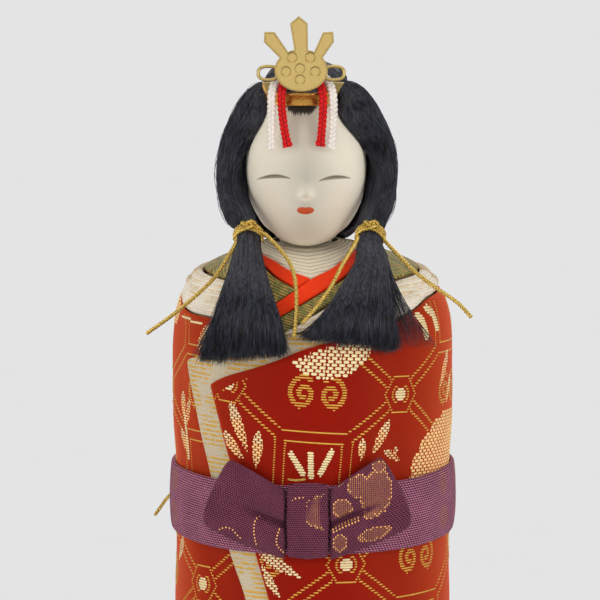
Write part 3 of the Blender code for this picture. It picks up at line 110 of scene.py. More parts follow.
HAIR_BACK = (
    (0.010, 104, 0.70), (0.06, 103, 0.92), (0.12, 102, 1.0), (0.30, 101, 1.0), (0.45, 100, 1.0),
    (0.60, 99, 1.0), (0.74, 97, 0.95), (0.85, 95, 0.85), (0.905, 93, 0.75), (0.909, 78, 0.70),
    (0.914, 60, 0.66), (0.919, 42, 0.63), (0.925, 22, 0.66), (0.932, 0, 0.78), (0.962, 0, 1.0),
    (0.983, 0, 1.02), (0.999, 0, 0.98),
)
SWEEP_TOP = (
    (0.945, 56, 96, 0.20, 10), (0.915, 60, 100, 0.42, 13), (0.885, 60, 100, 0.52, 14),
    (0.855, 57, 100, 0.58, 14), (0.80, 51, 100, 0.64, 12), (0.735, 53, 101, 0.68, 9),
    (0.66, 60, 103, 0.74, 5), (0.58, 68, 106, 0.80, 0),
)
SWEEP_LOW = (
    (1.125, 0.06, 0.46, 0.46, 0.92, -0.25), (1.10, 0.20, 0.35, 0.49, 0.82, -0.1),
    (1.072, 0.42, 0.262, 0.49, 0.66, 0.25), (1.01, 0.68, 0.20, 0.49, 0.50, 0.6),
    (0.95, 0.84, 0.150, 0.47, 0.44, 0.8),
)
TIE = Vector((17.9, -17.0, 163.4))
TIE_AT = {-1: (-15.3, -0.04), 1: (17.1, -0.20)}
TIE_RADIUS = 2.5
TIE_WIDE = 3.3
WINDING_TURNS = 2.5
WINDING_PITCH = 1.35
TASSEL_REACH = 41.0
TASSEL_ROWS = (
    (0.19, 0.66, 0.335, 0.95), (0.29, 0.75, 0.43, 1), (0.41, 0.85, 0.54, 1), (0.54, 0.935, 0.66, 1),
    (0.68, 0.985, 0.79, 0.95), (0.84, 1, 0.92, 0.85), (0.97, 1, 1, 0.72), (1, 1, 0.98, 0.45),
)
TASSEL_PATHS = {
    "left": (-0.85, -0.87, -0.86, -0.865, -0.87, -0.91, -0.93, -0.93),
    "right": (0.98, 0.93, 0.866, 0.81, 0.745, 0.68, 0.65, 0.65),
}
TASSEL_ENDS = {"left": (0.97, -0.14), "right": (0.85, 0.18)}

# Cord routes near the solids', in millimetres.
GOLD_ROUTES = {
    "left_outer": ((-20.3, -19.6, 160.0), (-22.6, -22.8, 156.2), (-26.3, -26.2, 151.0),
                   (-31.2, -27.6, 146.4), (-37.4, -26.6, 141.2), (-43.9, -24.0, 136.2)),
    "left_inner": ((-13.9, -18.4, 162.2), (-12.6, -21.4, 162.2), (-11.0, -25.2, 161.2),
                   (-8.6, -29.2, 159.2), (-6.0, -33.8, 156.2), (-4.7, -38.2, 152.6),
                   (-4.3, -42.0, 147.0), (-4.6, -44.0, 141.2), (-5.0, -44.9, 138.4)),
    "right_inner": ((12.0, -18.6, 161.2), (11.4, -21.4, 160.4), (10.0, -26.2, 158.6), (7.6, -31.8, 155.4),
                    (4.8, -37.2, 150.8), (1.0, -42.2, 146.2), (-2.8, -46.2, 142.3)),
    "right_outer": ((19.2, -19.8, 160.2), (22.6, -24.0, 157.0), (26.8, -28.0, 153.2), (32.0, -28.2, 149.2),
                    (38.0, -26.4, 144.8), (41.8, -24.6, 140.6)),
}
BRAID_ROUTES = {
    "red": ((-6.6, -20.7, 185.4), (-7.6, -20.7, 190.5), (-8.2, -20.6, 196.0), (-8.2, -19.9, 199.6),
            (-7.4, -18.2, 202.2), (-5.2, -17.1, 203.4), (-3.0, -16.9, 203.7), (-0.9, -17.1, 203.4),
            (1.5, -18.2, 202.2), (2.6, -19.9, 199.6), (2.7, -20.6, 196.0), (2.4, -20.7, 190.5),
            (1.9, -20.7, 185.6)),
    "white": ((-10.9, -20.4, 184.8), (-11.0, -20.3, 190.5), (-10.9, -20.2, 196.0), (-10.8, -19.6, 199.4),
              (-10.0, -17.9, 201.9), (-8.0, -16.6, 204.4), (-5.2, -16.1, 206.2), (-3.0, -16.0, 206.6),
              (-0.8, -16.1, 206.2), (2.2, -16.6, 204.4), (4.3, -17.9, 201.9), (5.2, -19.6, 199.4),
              (5.4, -20.2, 196.0), (5.3, -20.3, 190.5), (4.9, -20.4, 184.8)),
}
SASH_CORD = ((-8.3, 38.9, 90.5), (-17.1, 35.9, 90.0), (-25.2, 30.8, 89.4), (-31.6, 24.2, 88.6),
             (-36.4, 16.5, 87.4), (-39.8, 10.8, 85.0), (-43.1, 6.6, 81.0))

TWIST = 1.9
STITCH = 1.25

# Bow: middle of the knot, length of a loop, and the knot's foot, height, half width and depth.
BOW_X = -1.4
LOOP_LONG = 20.5
KNOT_LOW = 79.1
KNOT_TALL = 20.5
KNOT_HALF = 5.5
KNOT_DEEP = 3.4

# Crown.
CROWN_X = -3.1
DISC = (7.0, 5.6)
DISC_Z = 205.6
DISC_Y = -20.6
TILT = math.radians(9.0)
PLATE_THICK = 0.9
RAYS = ((-math.radians(41.5), 13.6, 1.9), (0.0, 14.3, 2.3), (math.radians(41.5), 13.6, 1.9))
DIMPLES = ((-0.34, 0.61), (0.34, 0.61), (-0.57, -0.05), (-0.04, 0.09), (0.53, -0.05), (-0.04, -0.43))
CUP_TOP = 199.4


def tint(red, green, blue):
    """Screen colour of 0 to 255 as the linear values that a colour property holds."""
    shares = (value / 255 for value in (red, green, blue))
    return tuple(c / 12.92 if c <= 0.04045 else ((c + 0.055) / 1.055) ** 2.4 for c in shares)


def colour(label, words, red, green, blue):
    return bpy.props.FloatVectorProperty(
        name=label, description=words, subtype="COLOR", size=3, min=0.0, max=1.0,
        default=tint(red, green, blue))


class DollColours(bpy.types.PropertyGroup):
    """Colours of the doll's cloths, hair, face and gilt."""

    red: colour("Red silk", "Ground of the brocade robes", 133, 17, 2)
    gold: colour("Gold weft", "Lines of the brocade's lattice", 206, 160, 62)
    cream: colour("Cream weft", "Leaves and small flowers of the brocade", 232, 216, 164)
    peach: colour("Peach weft", "Large blossoms of the brocade", 244, 204, 138)
    pale: colour("Pale cloth", "Lining and front of the inner collar", 202, 188, 162)
    mustard: colour("Mustard weft", "Gold streaks of the pale cloth", 204, 158, 62)
    rib: colour("Ribbed collar", "Innermost collar at the neck", 226, 214, 190)
    scarlet: colour("Scarlet crepe", "Second collar", 232, 58, 18)
    moss: colour("Moss green", "Third collar", 128, 128, 68)
    purple: colour("Purple tweed", "Ground of the sash and bow", 100, 42, 66)
    copper: colour("Copper thread", "Dotted leaves on the bow", 214, 140, 92)
    hair: colour("Hair", "Silk hair", 27, 28, 36)
    face: colour("Shell white", "Face and neck", 232, 224, 206)
    lips: colour("Lips", "Painted lips", 214, 84, 30)
    gilt: colour("Gilt", "Crown", 166, 144, 90)
    cord_gold: colour("Gold cord", "Twisted hair cords and sash cord", 252, 212, 108)
    braid_red: colour("Red braid", "Braided cord of the crown", 206, 18, 20)
    braid_white: colour("White braid", "Outer braided cord of the crown", 228, 219, 210)
    floor: colour("Floor", "Studio floor and backdrop", 228, 228, 229)


class DollSizes(bpy.types.PropertyGroup):
    """Sizes that change how fine the cloth and hair are."""

    weft: bpy.props.FloatProperty(
        name="Weft pitch", description="Distance between the brocade's weft rows", default=0.68 * MM,
        min=0.4 * MM, max=1.2 * MM, precision=5, subtype="DISTANCE", unit="LENGTH")
    braid: bpy.props.FloatProperty(
        name="Braid diameter", description="Width of the crown's braided cords", default=2.2 * MM,
        min=1.5 * MM, max=3.0 * MM, precision=5, subtype="DISTANCE", unit="LENGTH")
    cord: bpy.props.FloatProperty(
        name="Hair cord diameter", description="Width of the twisted gold hair cords", default=0.86 * MM,
        min=0.5 * MM, max=1.4 * MM, precision=5, subtype="DISTANCE", unit="LENGTH")
    strands: bpy.props.IntProperty(
        name="Tassel hairs", description="Hairs drawn in each tassel", default=2600, min=200, max=3800)
    combed: bpy.props.IntProperty(
        name="Combed hairs", description="Hairs drawn on each side of the head", default=1500, min=100,
        max=3800)


def arithmetic(operation):
    """A method for value + other, and one for other + value, of one operation."""
    def plain(self, other):
        return self.maths(operation, other)

    def swapped(self, other):
        return self.finish.maths(operation, other, self)
    return plain, swapped


class Value:
    """A number or colour on its way through a material's nodes."""

    def __init__(self, finish, socket):
        self.finish = finish
        self.socket = socket

    def maths(self, operation, *others, clamp=False):
        return self.finish.maths(operation, self, *others, clamp=clamp)

    __add__, __radd__ = arithmetic("ADD")
    __sub__, __rsub__ = arithmetic("SUBTRACT")
    __mul__, __rmul__ = arithmetic("MULTIPLY")
    __truediv__, __rtruediv__ = arithmetic("DIVIDE")
    __mod__, _ = arithmetic("FLOORED_MODULO")
    __pow__, _ = arithmetic("POWER")

    def __abs__(self):
        return self.maths("ABSOLUTE")

    def sine(self):
        return self.maths("SINE")

    def wave(self, length):
        """From -1 to 1 and back over each length."""
        return (self * (math.tau / length)).sine()

    def swing(self, amount):
        """How far the number is from one half, times an amount."""
        return (self - 0.5) * amount

    def most(self, other):
        return self.maths("MAXIMUM", other)

    def held(self):
        """The same number, kept between 0 and 1."""
        return self.maths("ADD", 0.0, clamp=True)

    def ramp(self, low, high):
        """0 at low, 1 at high, smooth between them."""
        return self.finish.add("ShaderNodeMapRange", {"interpolation_type": "SMOOTHSTEP"},
                               {"Value": self, "From Min": low, "From Max": high})


class Finish:
    """One material, built from nodes."""

    def __init__(self, name):
        self.material = bpy.data.materials.new(name)
        self.material.use_nodes = True
        self.tree = self.material.node_tree
        self.tree.nodes.clear()

    def add(self, kind, settings=None, inputs=None, out=0):
        """A node of a type, with its settings, then its inputs, as the Value of one output."""
        node = self.tree.nodes.new(kind)
        for key, value in (settings or {}).items():
            setattr(node, key, value)
        for key, value in (inputs or {}).items():
            socket = node.inputs[key]
            if isinstance(value, Value):
                self.tree.links.new(value.socket, socket)
            elif isinstance(value, (tuple, list)) and len(socket.default_value) == 4:
                socket.default_value = (*value[:3], 1.0)
            else:
                socket.default_value = value
        return Value(self, node.outputs[out])

    def maths(self, operation, *values, clamp=False):
        return self.add("ShaderNodeMath", {"operation": operation, "use_clamp": clamp},
                        dict(enumerate(values)))

    def place(self, where="Object"):
        """Object coordinates in millimetres."""
        node = self.tree.nodes.new("ShaderNodeTexCoord")
        scaled = self.add("ShaderNodeVectorMath", {"operation": "SCALE"},
                          {0: Value(self, node.outputs[where]), "Scale": 1 / MM})
        return scaled

    def weave(self):
        """The cloth's own map: millimetres across and up the cloth."""
        return self.add("ShaderNodeUVMap", {"uv_map": "weave"})

    def parts(self, vector):
        node = self.tree.nodes.new("ShaderNodeSeparateXYZ")
        self.tree.links.new(vector.socket, node.inputs[0])
        return [Value(self, socket) for socket in node.outputs]

    def stretched(self, vector, across, along, third=1.0):
        return self.add("ShaderNodeVectorMath", {"operation": "MULTIPLY"},
                        {0: vector, 1: (across, along, third)})

    def noise(self, vector, scale, detail=2.0, rough=0.5):
        return self.add("ShaderNodeTexNoise", {"noise_dimensions": "3D"},
                        {"Vector": vector, "Scale": scale, "Detail": detail, "Roughness": rough})

    def grain(self, vector, *scales, detail=2.0, rough=0.5):
        """Noise with its own scale along each axis."""
        return self.noise(self.stretched(vector, *scales), 1.0, detail, rough)

    def tones(self, share, value, low, high):
        """A colour between a dark and a light shade of itself."""
        return self.mix(share.held(), *shades(value, low, high))

    def mix(self, factor, first, second, blend="MIX"):
        node = self.tree.nodes.new("ShaderNodeMix")
        node.data_type = "RGBA"
        node.blend_type = blend
        for index, value in ((0, factor), (6, first), (7, second)):
            socket = node.inputs[index]
            if isinstance(value, Value):
                self.tree.links.new(value.socket, socket)
            elif index == 0:
                socket.default_value = value
            else:
                socket.default_value = (*tuple(value)[:3], 1.0)
        return Value(self, node.outputs[2])

    def facing(self, power):
        """0 where the surface faces the eye, rising to 1 at its outline."""
        return self.add("ShaderNodeLayerWeight", {}, {"Blend": 0.5}, out=1) ** power

    def bump(self, height, distance, strength=1.0, under=None):
        inputs = {"Height": height, "Distance": distance * MM, "Strength": strength}
        if under is not None:
            inputs["Normal"] = under
        return self.add("ShaderNodeBump", {}, inputs)

    def done(self, **inputs):
        """Joins the surface to the output. Keys are the shader's sockets with _ for spaces."""
        shader = self.add("ShaderNodeBsdfPrincipled", {},
                          {key.replace("_", " "): value for key, value in inputs.items()})
        self.add_output(shader)
        return self.material

    def add_output(self, shader):
        output = self.tree.nodes.new("ShaderNodeOutputMaterial")
        self.tree.links.new(shader.socket, output.inputs["Surface"])


def shade(value, factor):
    return tuple(c * factor for c in value)


def shades(value, *factors):
    return [shade(value, factor) for factor in factors]


def woven(name):
    """A material, its woven map and the map's two parts."""
    f = Finish(name)
    cloth = f.weave()
    return (f, cloth, *f.parts(cloth)[:2])


def silk_ground(c):
    """Red satin: fine warp grain, a faint step at each weft row, slow changes of colour, and a painted
    sheen that turns the red orange towards the outline.
    """
    f, cloth, _, v = woven("red_silk")
    slow = f.grain(cloth, 0.05, 0.08, detail=3.0)
    warp = f.grain(cloth, 4.2, 0.9)
    rows = v.wave(0.315)
    grain = f.grain(cloth, 2.6, 3.2)
    tone = slow.swing(0.5) + warp.swing(0.8) + grain.swing(0.5) + rows * 0.05 + 0.5
    base = f.tones(tone, c.red, 0.74, 1.22)
    # Painted sheen: the red turns orange where the surface turns away from the eye, as satin looks in
    # grazing light.
    base = f.mix((f.facing(1.6) * 0.85).held(), base, tint(226, 92, 42))
    height = rows * 0.3 + warp * 0.9 + grain
    return f.done(Base_Color=base, Roughness=f.maths("MULTIPLY_ADD", warp, 0.2, 0.5),
                  Normal=f.bump(height, 0.05, 0.55), Specular_IOR_Level=0.06)


def weft_thread(name, shade_of, rough, metal=0.0):
    """Raised weft float: spun thread with light and dark along its length."""
    f = Finish(name)
    cloth = f.weave()
    spun = f.grain(cloth, 1.4, 7.0)
    worn = f.grain(cloth, 0.2, 0.2, detail=3.0)
    tone = spun.swing(1.2) + worn.swing(0.7) + 0.5
    base = f.tones(tone, shade_of, 0.66, 1.16)
    return f.done(Base_Color=base, Roughness=f.maths("MULTIPLY_ADD", worn, 0.2, rough), Metallic=metal,
                  Normal=f.bump(spun, 0.05, 0.5), Specular_IOR_Level=0.3)


def pale_cloth(c, name, plain, streaks=1.0):
    """Open plain weave with mustard weft streaks in soft patches."""
    f, cloth, u, v = woven(name)
    across = u.wave(0.62)
    up = v.wave(0.62)
    patch = f.grain(cloth, 0.10, 0.15, rough=0.6).ramp(0.42, 0.50)
    rows = v.wave(1.24).ramp(-0.3, 0.2)
    broken = f.grain(cloth, 0.5, 1.6, detail=1.0).ramp(0.40, 0.47)
    gold = patch * rows * broken * streaks
    holes = (across.most(up) * -0.5 + 0.5).ramp(0.05, 0.85)
    slow = f.grain(cloth, 0.06, 0.06)
    ground = f.mix(slow, *shades(plain, 0.86, 1.08))
    ground = f.mix(holes * 0.55, ground, shade(plain, 0.52))
    base = f.mix(gold.held(), ground, c.mustard)
    height = across * 0.35 + up * 0.35 + gold
    return f.done(Base_Color=base, Roughness=0.72, Normal=f.bump(height, 0.12, 0.7), Sheen_Weight=0.05,
                  Specular_IOR_Level=0.2)


def ribbed_cloth(c):
    """Cream crepe whose ribs are modelled: here are the slanting thread and painted shade in the grooves
    between the ribs.
    """
    f, cloth, u, v = woven("ribbed_cream")
    twist = (u * 1.0 + v * 1.2).wave(0.5)
    slow = f.grain(cloth, 0.1, 0.2)
    tone = twist * 0.28 + slow.swing(0.8) + 0.5
    base = f.tones(tone, c.rib, 0.84, 1.1)
    # Painted shade: darker colour in the grooves between the modelled ribs.
    base = f.mix(abs((v * (math.pi / RIB)).sine()).ramp(0.6, 0.1) * 0.7, base, shade(c.rib, 0.42))
    return f.done(Base_Color=base, Roughness=0.66, Normal=f.bump(twist, 0.06, 0.8), Specular_IOR_Level=0.25)


def crepe(c):
    """Scarlet crepe with a pebbled face."""
    f = Finish("scarlet_crepe")
    cloth = f.weave()
    pebble = f.grain(cloth, 2.2, 2.8)
    slow = f.grain(cloth, 0.15, 0.15)
    tone = pebble.swing(1.3) + slow.swing(0.6) + 0.5
    base = f.tones(tone, c.scarlet, 0.7, 1.15)
    return f.done(Base_Color=base, Roughness=0.62, Normal=f.bump(pebble, 0.12, 0.8),
                  Specular_IOR_Level=0.08)


def moss_cloth(c):
    """Moss green twill, crossed by patches of brown and gold weft."""
    f, cloth, u, v = woven("moss_twill")
    rows = (v + u * 0.25).wave(0.66)
    blocks = u.wave(5.2) * (v + u * 0.25).wave(4.4)
    patch = (blocks + f.grain(cloth, 0.14, 0.10, detail=1.0).swing(2.0)).ramp(-0.1, 0.15)
    dash = f.grain(cloth, 0.9, 3.2, detail=1.0)
    gold = patch * rows.ramp(-0.1, 0.4) * dash.ramp(0.34, 0.44)
    brown = (1.0 - patch) * rows.ramp(0.2, -0.5) * dash.ramp(0.44, 0.54)
    light = f.grain(cloth, 0.25, 0.5, detail=3.0)
    ground = f.mix(light, *shades(c.moss, 0.55, 1.45))
    ground = f.mix(rows.ramp(0.2, -0.9) * 0.4, ground, shade(c.moss, 0.3))
    base = f.mix(brown.held(), ground, tint(92, 48, 26))
    base = f.mix(gold.held(), base, tint(198, 150, 76))
    return f.done(Base_Color=base, Roughness=0.62, Normal=f.bump(rows + gold, 0.12, 0.8),
                  Specular_IOR_Level=0.25)


def tweed(name, dark, light, across=0.86, up=0.62):
    """Fuzzy purple weave: light floats, set like bricks, over dark gaps, with faint figures at the back."""
    f, cloth, u, v = woven(name)
    row = (v / up).maths("FLOOR")
    step = ((u / across + row * 0.38) % 1.0 - 0.5) * 2.0
    rise = ((v / up) % 1.0 - 0.5) * 2.0
    oval = 1.0 - (step * step * 0.8 + rise * rise)
    fuzz = f.grain(cloth, 3.0, 3.0, detail=4.0, rough=0.7)
    slow = f.grain(cloth, 0.12, 0.12, detail=3.0)
    lit = (oval + fuzz.swing(1.2)).ramp(0.15, 0.75)
    tone = lit * 0.9 + slow.swing(0.5) + fuzz.swing(0.4)
    base = f.mix(tone.held(), dark, light)
    ring = ((u + 3.0) % 13.0 - 6.5) ** 2.0 + ((v - 81.0) % 9.0 - 4.5) ** 2.0
    medallion = ring.ramp(13.0, 9.0) * abs(u).ramp(38.0, 42.0) * lit
    base = f.mix(medallion * 0.5, base, tint(196, 132, 104))
    height = oval.held() + fuzz * 0.7
    return f.done(Base_Color=base, Roughness=0.85, Normal=f.bump(height, 0.22, 0.8), Sheen_Weight=0.14,
                  Sheen_Roughness=0.35, Sheen_Tint=(0.95, 0.5, 0.66, 1.0), Specular_IOR_Level=0.1)


def combed_hair(c):
    """Black silk hair, with locks and fine hairs along the combing."""
    f = Finish("black_hair")
    comb = f.weave()
    fine = f.grain(comb, 3.4, 0.16, detail=3.0, rough=0.65)
    lock = f.grain(comb, 0.8, 0.05, detail=3.0)
    tone = fine.swing(1.5) + lock.swing(0.9) + 0.42
    base = f.tones(tone, c.hair, 0.2, 2.4)
    height = fine + lock * 1.5
    return f.done(Base_Color=base, Roughness=f.maths("MULTIPLY_ADD", fine, 0.3, 0.30),
                  Normal=f.bump(height, 0.34, 1.0), Specular_IOR_Level=0.42)


def single_hair(c):
    """Loose silk hairs."""
    f = Finish("loose_hair")
    spot = f.place()
    tone = f.grain(spot, 1.4, 1.4, 0.16)
    base = f.tones(tone.swing(3.4) + 0.40, c.hair, 0.18, 3.0)
    return f.done(Base_Color=base, Roughness=f.maths("MULTIPLY_ADD", tone, -0.2, 0.42),
                  Normal=f.bump(tone, 0.05, 0.2), Specular_IOR_Level=0.3)


def painted_face(c):
    """Ground shell over moulded core, with closed eyes, lips and a brushed hairline; painted shade darkens
    the middle of the face and the chin, and painted light brightens the forehead, the outline and the right
    cheek.
    """
    f = Finish("shell_white_face")
    spot = f.place()
    x, y, z = f.parts(spot)
    front = y.ramp(-4.0, -6.0)
    cloudy = f.grain(spot, 0.12, 0.12, 0.12, detail=3.0)
    # Painted shade: the middle of the face is darker than its outline.
    painted_shading_middle = f.mix(cloudy, *shades(c.face, 0.45, 0.51))
    # Painted light on the forehead, then painted shade on the chin.
    painted_shading_middle = f.mix(z.ramp(177.0, 187.0) * 0.5, painted_shading_middle, shade(c.face, 0.74))
    painted_shading_middle = f.mix(z.ramp(170.0, 161.5) * 0.75, painted_shading_middle, tint(146, 128, 106))
    # Painted light: the face turns lighter towards its outline, and more on the right cheek.
    base = f.mix((f.facing(0.55) + x.ramp(2.0, 12.0) * 0.12).held(), painted_shading_middle, shade(c.face, 1.16))
    for middle, half, low, slope, rise, lid in (
        (-10.4, 4.8, 175.95, 0.57, 1.5, 0.50), (5.85, 4.55, 175.93, 0.05, 1.34, 0.32),
    ):
        e = (x - middle) / half
        arch = (1.0 - e * e).most(0.0)
        line = e * slope + low
        upper = line + arch * rise
        lower = line + arch * lid
        inside = (upper - z + 0.06).ramp(0.0, 0.14) * (z - lower + 0.05).ramp(0.0, 0.22)
        inside = inside * arch.ramp(0.02, 0.12)
        stroke = abs(upper - z).ramp(0.30, 0.04) * arch.ramp(0.0, 0.3)
        inner = (e * (1.0 if middle > 0 else -1.0)).ramp(1.0, -0.6)
        base = f.mix((inside * (0.66 + (z - lower) * 0.4) * front).held(), base, tint(98, 86, 64))
        base = f.mix((stroke * front * (inner * 0.3 + 0.30)).held(), base, tint(72, 64, 48))
    e = (x + 1.95) / 2.3
    arch = (1.0 - e * e).most(0.0) ** 0.5
    dip = (e * e * -9.0).maths("EXPONENT")
    rise = z - 168.35
    upper = arch * (1.05 - dip * 0.26) - rise
    lower = rise + arch * 1.12
    mouth = upper.ramp(-0.08, 0.14) * lower.ramp(-0.08, 0.14) * front
    brush = f.grain(spot, 3.0, 1.0, 0.5)
    base = f.mix(mouth.held(), base, f.mix(brush, *shades(c.lips, 0.52, 0.72)))
    lane = f.grain(spot, 4.6, 0.4, 0.22, detail=1.0)
    away = abs(x + 3.1)
    reach = z - 192.0 - lane * 2.8 - (away * 0.28) ** 4.0
    band = reach.ramp(-0.2, 0.5) * away.ramp(4.6, 3.7) * front
    base = f.mix((band * 0.95).held(), base, tint(30, 27, 27))
    cheek = abs(x + 2.0) - 9.0
    blush = (cheek * cheek + (z - 170.0) * (z - 170.0)).ramp(34.0, 2.0) * front
    base = f.mix(blush * 0.05, base, tint(228, 150, 120))
    pores = f.grain(spot, 0.9, 0.9, 0.9, detail=3.0)
    return f.done(Base_Color=base, Roughness=f.maths("MULTIPLY_ADD", pores, 0.12, 0.42),
                  Normal=f.bump(pores, 0.02, 0.25), Specular_IOR_Level=0.3, Subsurface_Weight=0.12,
                  Subsurface_Radius=(0.0015, 0.0011, 0.0008))


def gilt_metal(c, name, brushed):
    """Brushed and lacquered gilt, darker and rougher where it is handled."""
    f = Finish(name)
    spot = f.place()
    brush = f.grain(spot, 7.0, 1.2, 1.2) if brushed else f.noise(spot, 1.4, 2.0)
    worn = f.grain(spot, 0.35, 0.35, 0.35, detail=4.0, rough=0.65)
    tone = brush.swing(0.7) + worn.swing(0.8) + 0.5
    ground = c.gilt if brushed else tint(202, 150, 72)
    base = f.tones(tone, ground, 0.74, 1.16)
    rough = brush * 0.22 + worn * 0.18 + (0.24 if brushed else 0.10)
    return f.done(Base_Color=base, Metallic=1.0, Roughness=rough,
                  Normal=f.bump(brush + worn * 0.6, 0.03, 0.45 if brushed else 0.15))


def metallic_cord(c):
    """Cord wound with a flat metallic thread, whose turns slant across it."""
    f, cord, u, v = woven("gold_cord")
    wrap = (v * 1.0 + u * 0.55).wave(0.30)
    spark = f.grain(cord, 2.0, 2.4)
    tone = wrap * 0.3 + spark.swing(1.3) + 0.5
    base = f.tones(tone, c.cord_gold, 0.26, 1.3)
    return f.done(Base_Color=base, Metallic=0.72, Roughness=f.maths("MULTIPLY_ADD", spark, 0.25, 0.14),
                  Normal=f.bump(wrap + spark, 0.12, 1.0))


def braid_silk(name, shade_of, deep):
    """Spun silk of a braided cord: fine threads along each stitch, with painted shade in the grooves
    between the stitches and along the middle.
    """
    f, cord, u, v = woven(name)
    thread = f.grain(cord, 5.0, 5.0, detail=3.0)
    slow = f.grain(cord, 0.7, 0.7)
    across = (u * (math.tau / 3.0)).maths("COSINE")
    phase = v / STITCH + abs(across) * 0.55 + across.maths("GREATER_THAN", 0.0) * 0.5
    groove = abs((phase * math.pi).sine()).ramp(0.55, 0.05).most(abs(across).ramp(0.22, 0.04))
    base = f.tones(thread.swing(1.2) + slow.swing(0.7) + 0.55, shade_of, 0.66, 1.12)
    # Painted shade: the grooves between the stitches and down the middle are darkened to the deep share of
    # the colour.
    base = f.mix(groove * 0.75, base, shade(shade_of, deep))
    return f.done(Base_Color=base, Roughness=0.6, Normal=f.bump(thread, 0.08, 0.6), Specular_IOR_Level=0.15)


def plain_solid(name, first, second, grain, rough, bump, stretch=(1.0, 1.0, 1.0)):
    """Moulded, felted or split material of the parts under the cloth."""
    f = Finish(name)
    spot = f.place()
    fine = f.noise(f.stretched(spot, *stretch), grain, 4.0, 0.6)
    slow = f.noise(f.stretched(spot, *stretch), grain * 0.12, 2.0)
    base = f.mix((fine.swing(1.4) + slow.swing(0.8) + 0.5).held(), first, second)
    return f.done(Base_Color=base, Roughness=f.maths("MULTIPLY_ADD", fine, 0.15, rough),
                  Normal=f.bump(fine, bump, 0.7))


def mix(a, b, t):
    return a + (b - a) * t


def clamp(x, low=0.0, high=1.0):
    return min(max(x, low), high)


def smooth(low, high, x):
    t = clamp((x - low) / (high - low))
    return t * t * (3 - 2 * t)


def table_at(table, x):
    """Value at x of a table of (x, value), joined by a smooth curve with no overshoot."""
    if x <= table[0][0]:
        return table[0][1]
    if x >= table[-1][0]:
        return table[-1][1]
    index = next(i for i in range(len(table) - 1) if x <= table[i + 1][0])
    (x0, y0), (x1, y1) = table[index], table[index + 1]
    chord = (y1 - y0) / (x1 - x0)

    def slope(i):
        if i == 0 or i == len(table) - 1:
            return chord
        before = (table[i][1] - table[i - 1][1]) / (table[i][0] - table[i - 1][0])
        after = (table[i + 1][1] - table[i][1]) / (table[i + 1][0] - table[i][0])
        if before * after <= 0:
            return 0.0
        return 2 * before * after / (before + after)

    t = (x - x0) / (x1 - x0)
    m0, m1 = slope(index) * (x1 - x0), slope(index + 1) * (x1 - x0)
    return ((2 * t ** 3 - 3 * t ** 2 + 1) * y0 + (t ** 3 - 2 * t ** 2 + t) * m0
            + (3 * t ** 2 - 2 * t ** 3) * y1 + (t ** 3 - t ** 2) * m1)


OUTLINE = [(height * SHOULDER, radius * CHEST) for radius, height in TRUNK]
OUTLINE += [(SHOULDER + rise * DOME, radius * CHEST) for radius, rise in SHOULDERS]
RADII = [table_at(OUTLINE, step / 10) for step in range(int(COLLAR_TOP * 10) + 1)]


def outline(height):
    place = clamp(height * 10, 0.0, len(RADII) - 1.001)
    index = int(place)
    return mix(RADII[index], RADII[index + 1], place - index)


def on_trunk(angle, height, depth):
    """Point on the robed trunk at an angle and a height, moved out from the cloth by depth."""
    radius = outline(height)
    low, high = max(height - 0.4, 0.0), min(height + 0.4, COLLAR_TOP)
    slope = (outline(high) - outline(low)) / (high - low)
    length = math.hypot(1.0, slope)
    out = radius + depth / length
    inward = smooth(0.0, 1.0, (CHEST - radius) / (CHEST - OUTLINE[-1][1]))
    turn = math.radians(angle)
    return Vector((NECK_X * inward + out * math.sin(turn), -out * math.cos(turn),
                   height - depth * slope / length))


def arc(angle):
    """Millimetres round the chest of an angle."""
    return CHEST * math.radians(angle)


def edge_height(table, angle):
    return COLLAR_TOP - table_at(table, angle) * DOME


def lining_edge(height):
    return table_at(LINING_EDGE, height / SHOULDER)


def panel_edge(height):
    return table_at(PANEL_EDGE, height / SHOULDER)


def crumple(angle, height, size=0.16):
    """Small unevenness of cloth that is glued over a moulded body."""
    spot = Vector((arc(angle) * 0.06, height * 0.10, 3.1))
    pull = noise.noise(Vector((arc(angle) * 0.22, height * 0.04, 7.7)))
    near = math.exp(-((height - SASH_Z) / 14) ** 2)
    return size * (noise.noise(spot) + 0.9 * near * pull)


def under_depth(angle, height):
    start = lining_edge(min(height, SHOULDER))
    thin = smooth(start - 27, start - 8, angle)
    fade = smooth(8.4, 12.6, max(height - SHOULDER, 0.0))
    return mix(0.0, -1.0, thin * (1 - fade)) + crumple(angle, height)


def lining_depth(angle, height):
    return 0.15 + crumple(angle, height, 0.1)


def panel_depth(angle, height):
    return mix(0.0, 1.6, 1 - smooth(14, 36, angle)) + crumple(angle + 7, height)


def sash_depth(angle):
    """Depth of the sash's inner face."""
    return mix(1.9, 0.4, smooth(36, 66, abs(angle)))


def mesh_of(name, shape, *finishes):
    """A finished bmesh as a mesh with its materials."""
    mesh = bpy.data.meshes.new(name)
    shape.to_mesh(mesh)
    shape.free()
    for finish in finishes:
        mesh.materials.append(finish)
    return mesh


def placed(name, data):
    """An object in the scene, at the origin."""
    item = bpy.data.objects.new(name, data)
    bpy.context.scene.collection.objects.link(item)
    return item


def piece(name, shape, body, *finishes):
    """Makes a finished bmesh a smooth object that rides on a body."""
    mesh = mesh_of(name, shape, *finishes)
    mesh.shade_smooth()
    item = placed(name, mesh)
    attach(item, body)
    return item


def stands_for(node, slot):
    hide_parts(node)


def modifier(item, name, kind, **settings):
    added = item.modifiers.new(name, kind)
    for key, value in settings.items():
        setattr(added, key, value)


def soften(item, name):
    modifier(item, name, "SUBSURF", levels=1, render_levels=1)


def roll_edges(item, degrees):
    """Rounds the edges of sheet metal that turn by more than some degrees."""
    modifier(item, "rolled edge", "BEVEL", width=0.14 * MM, segments=2, limit_method="ANGLE",
             angle_limit=math.radians(degrees))


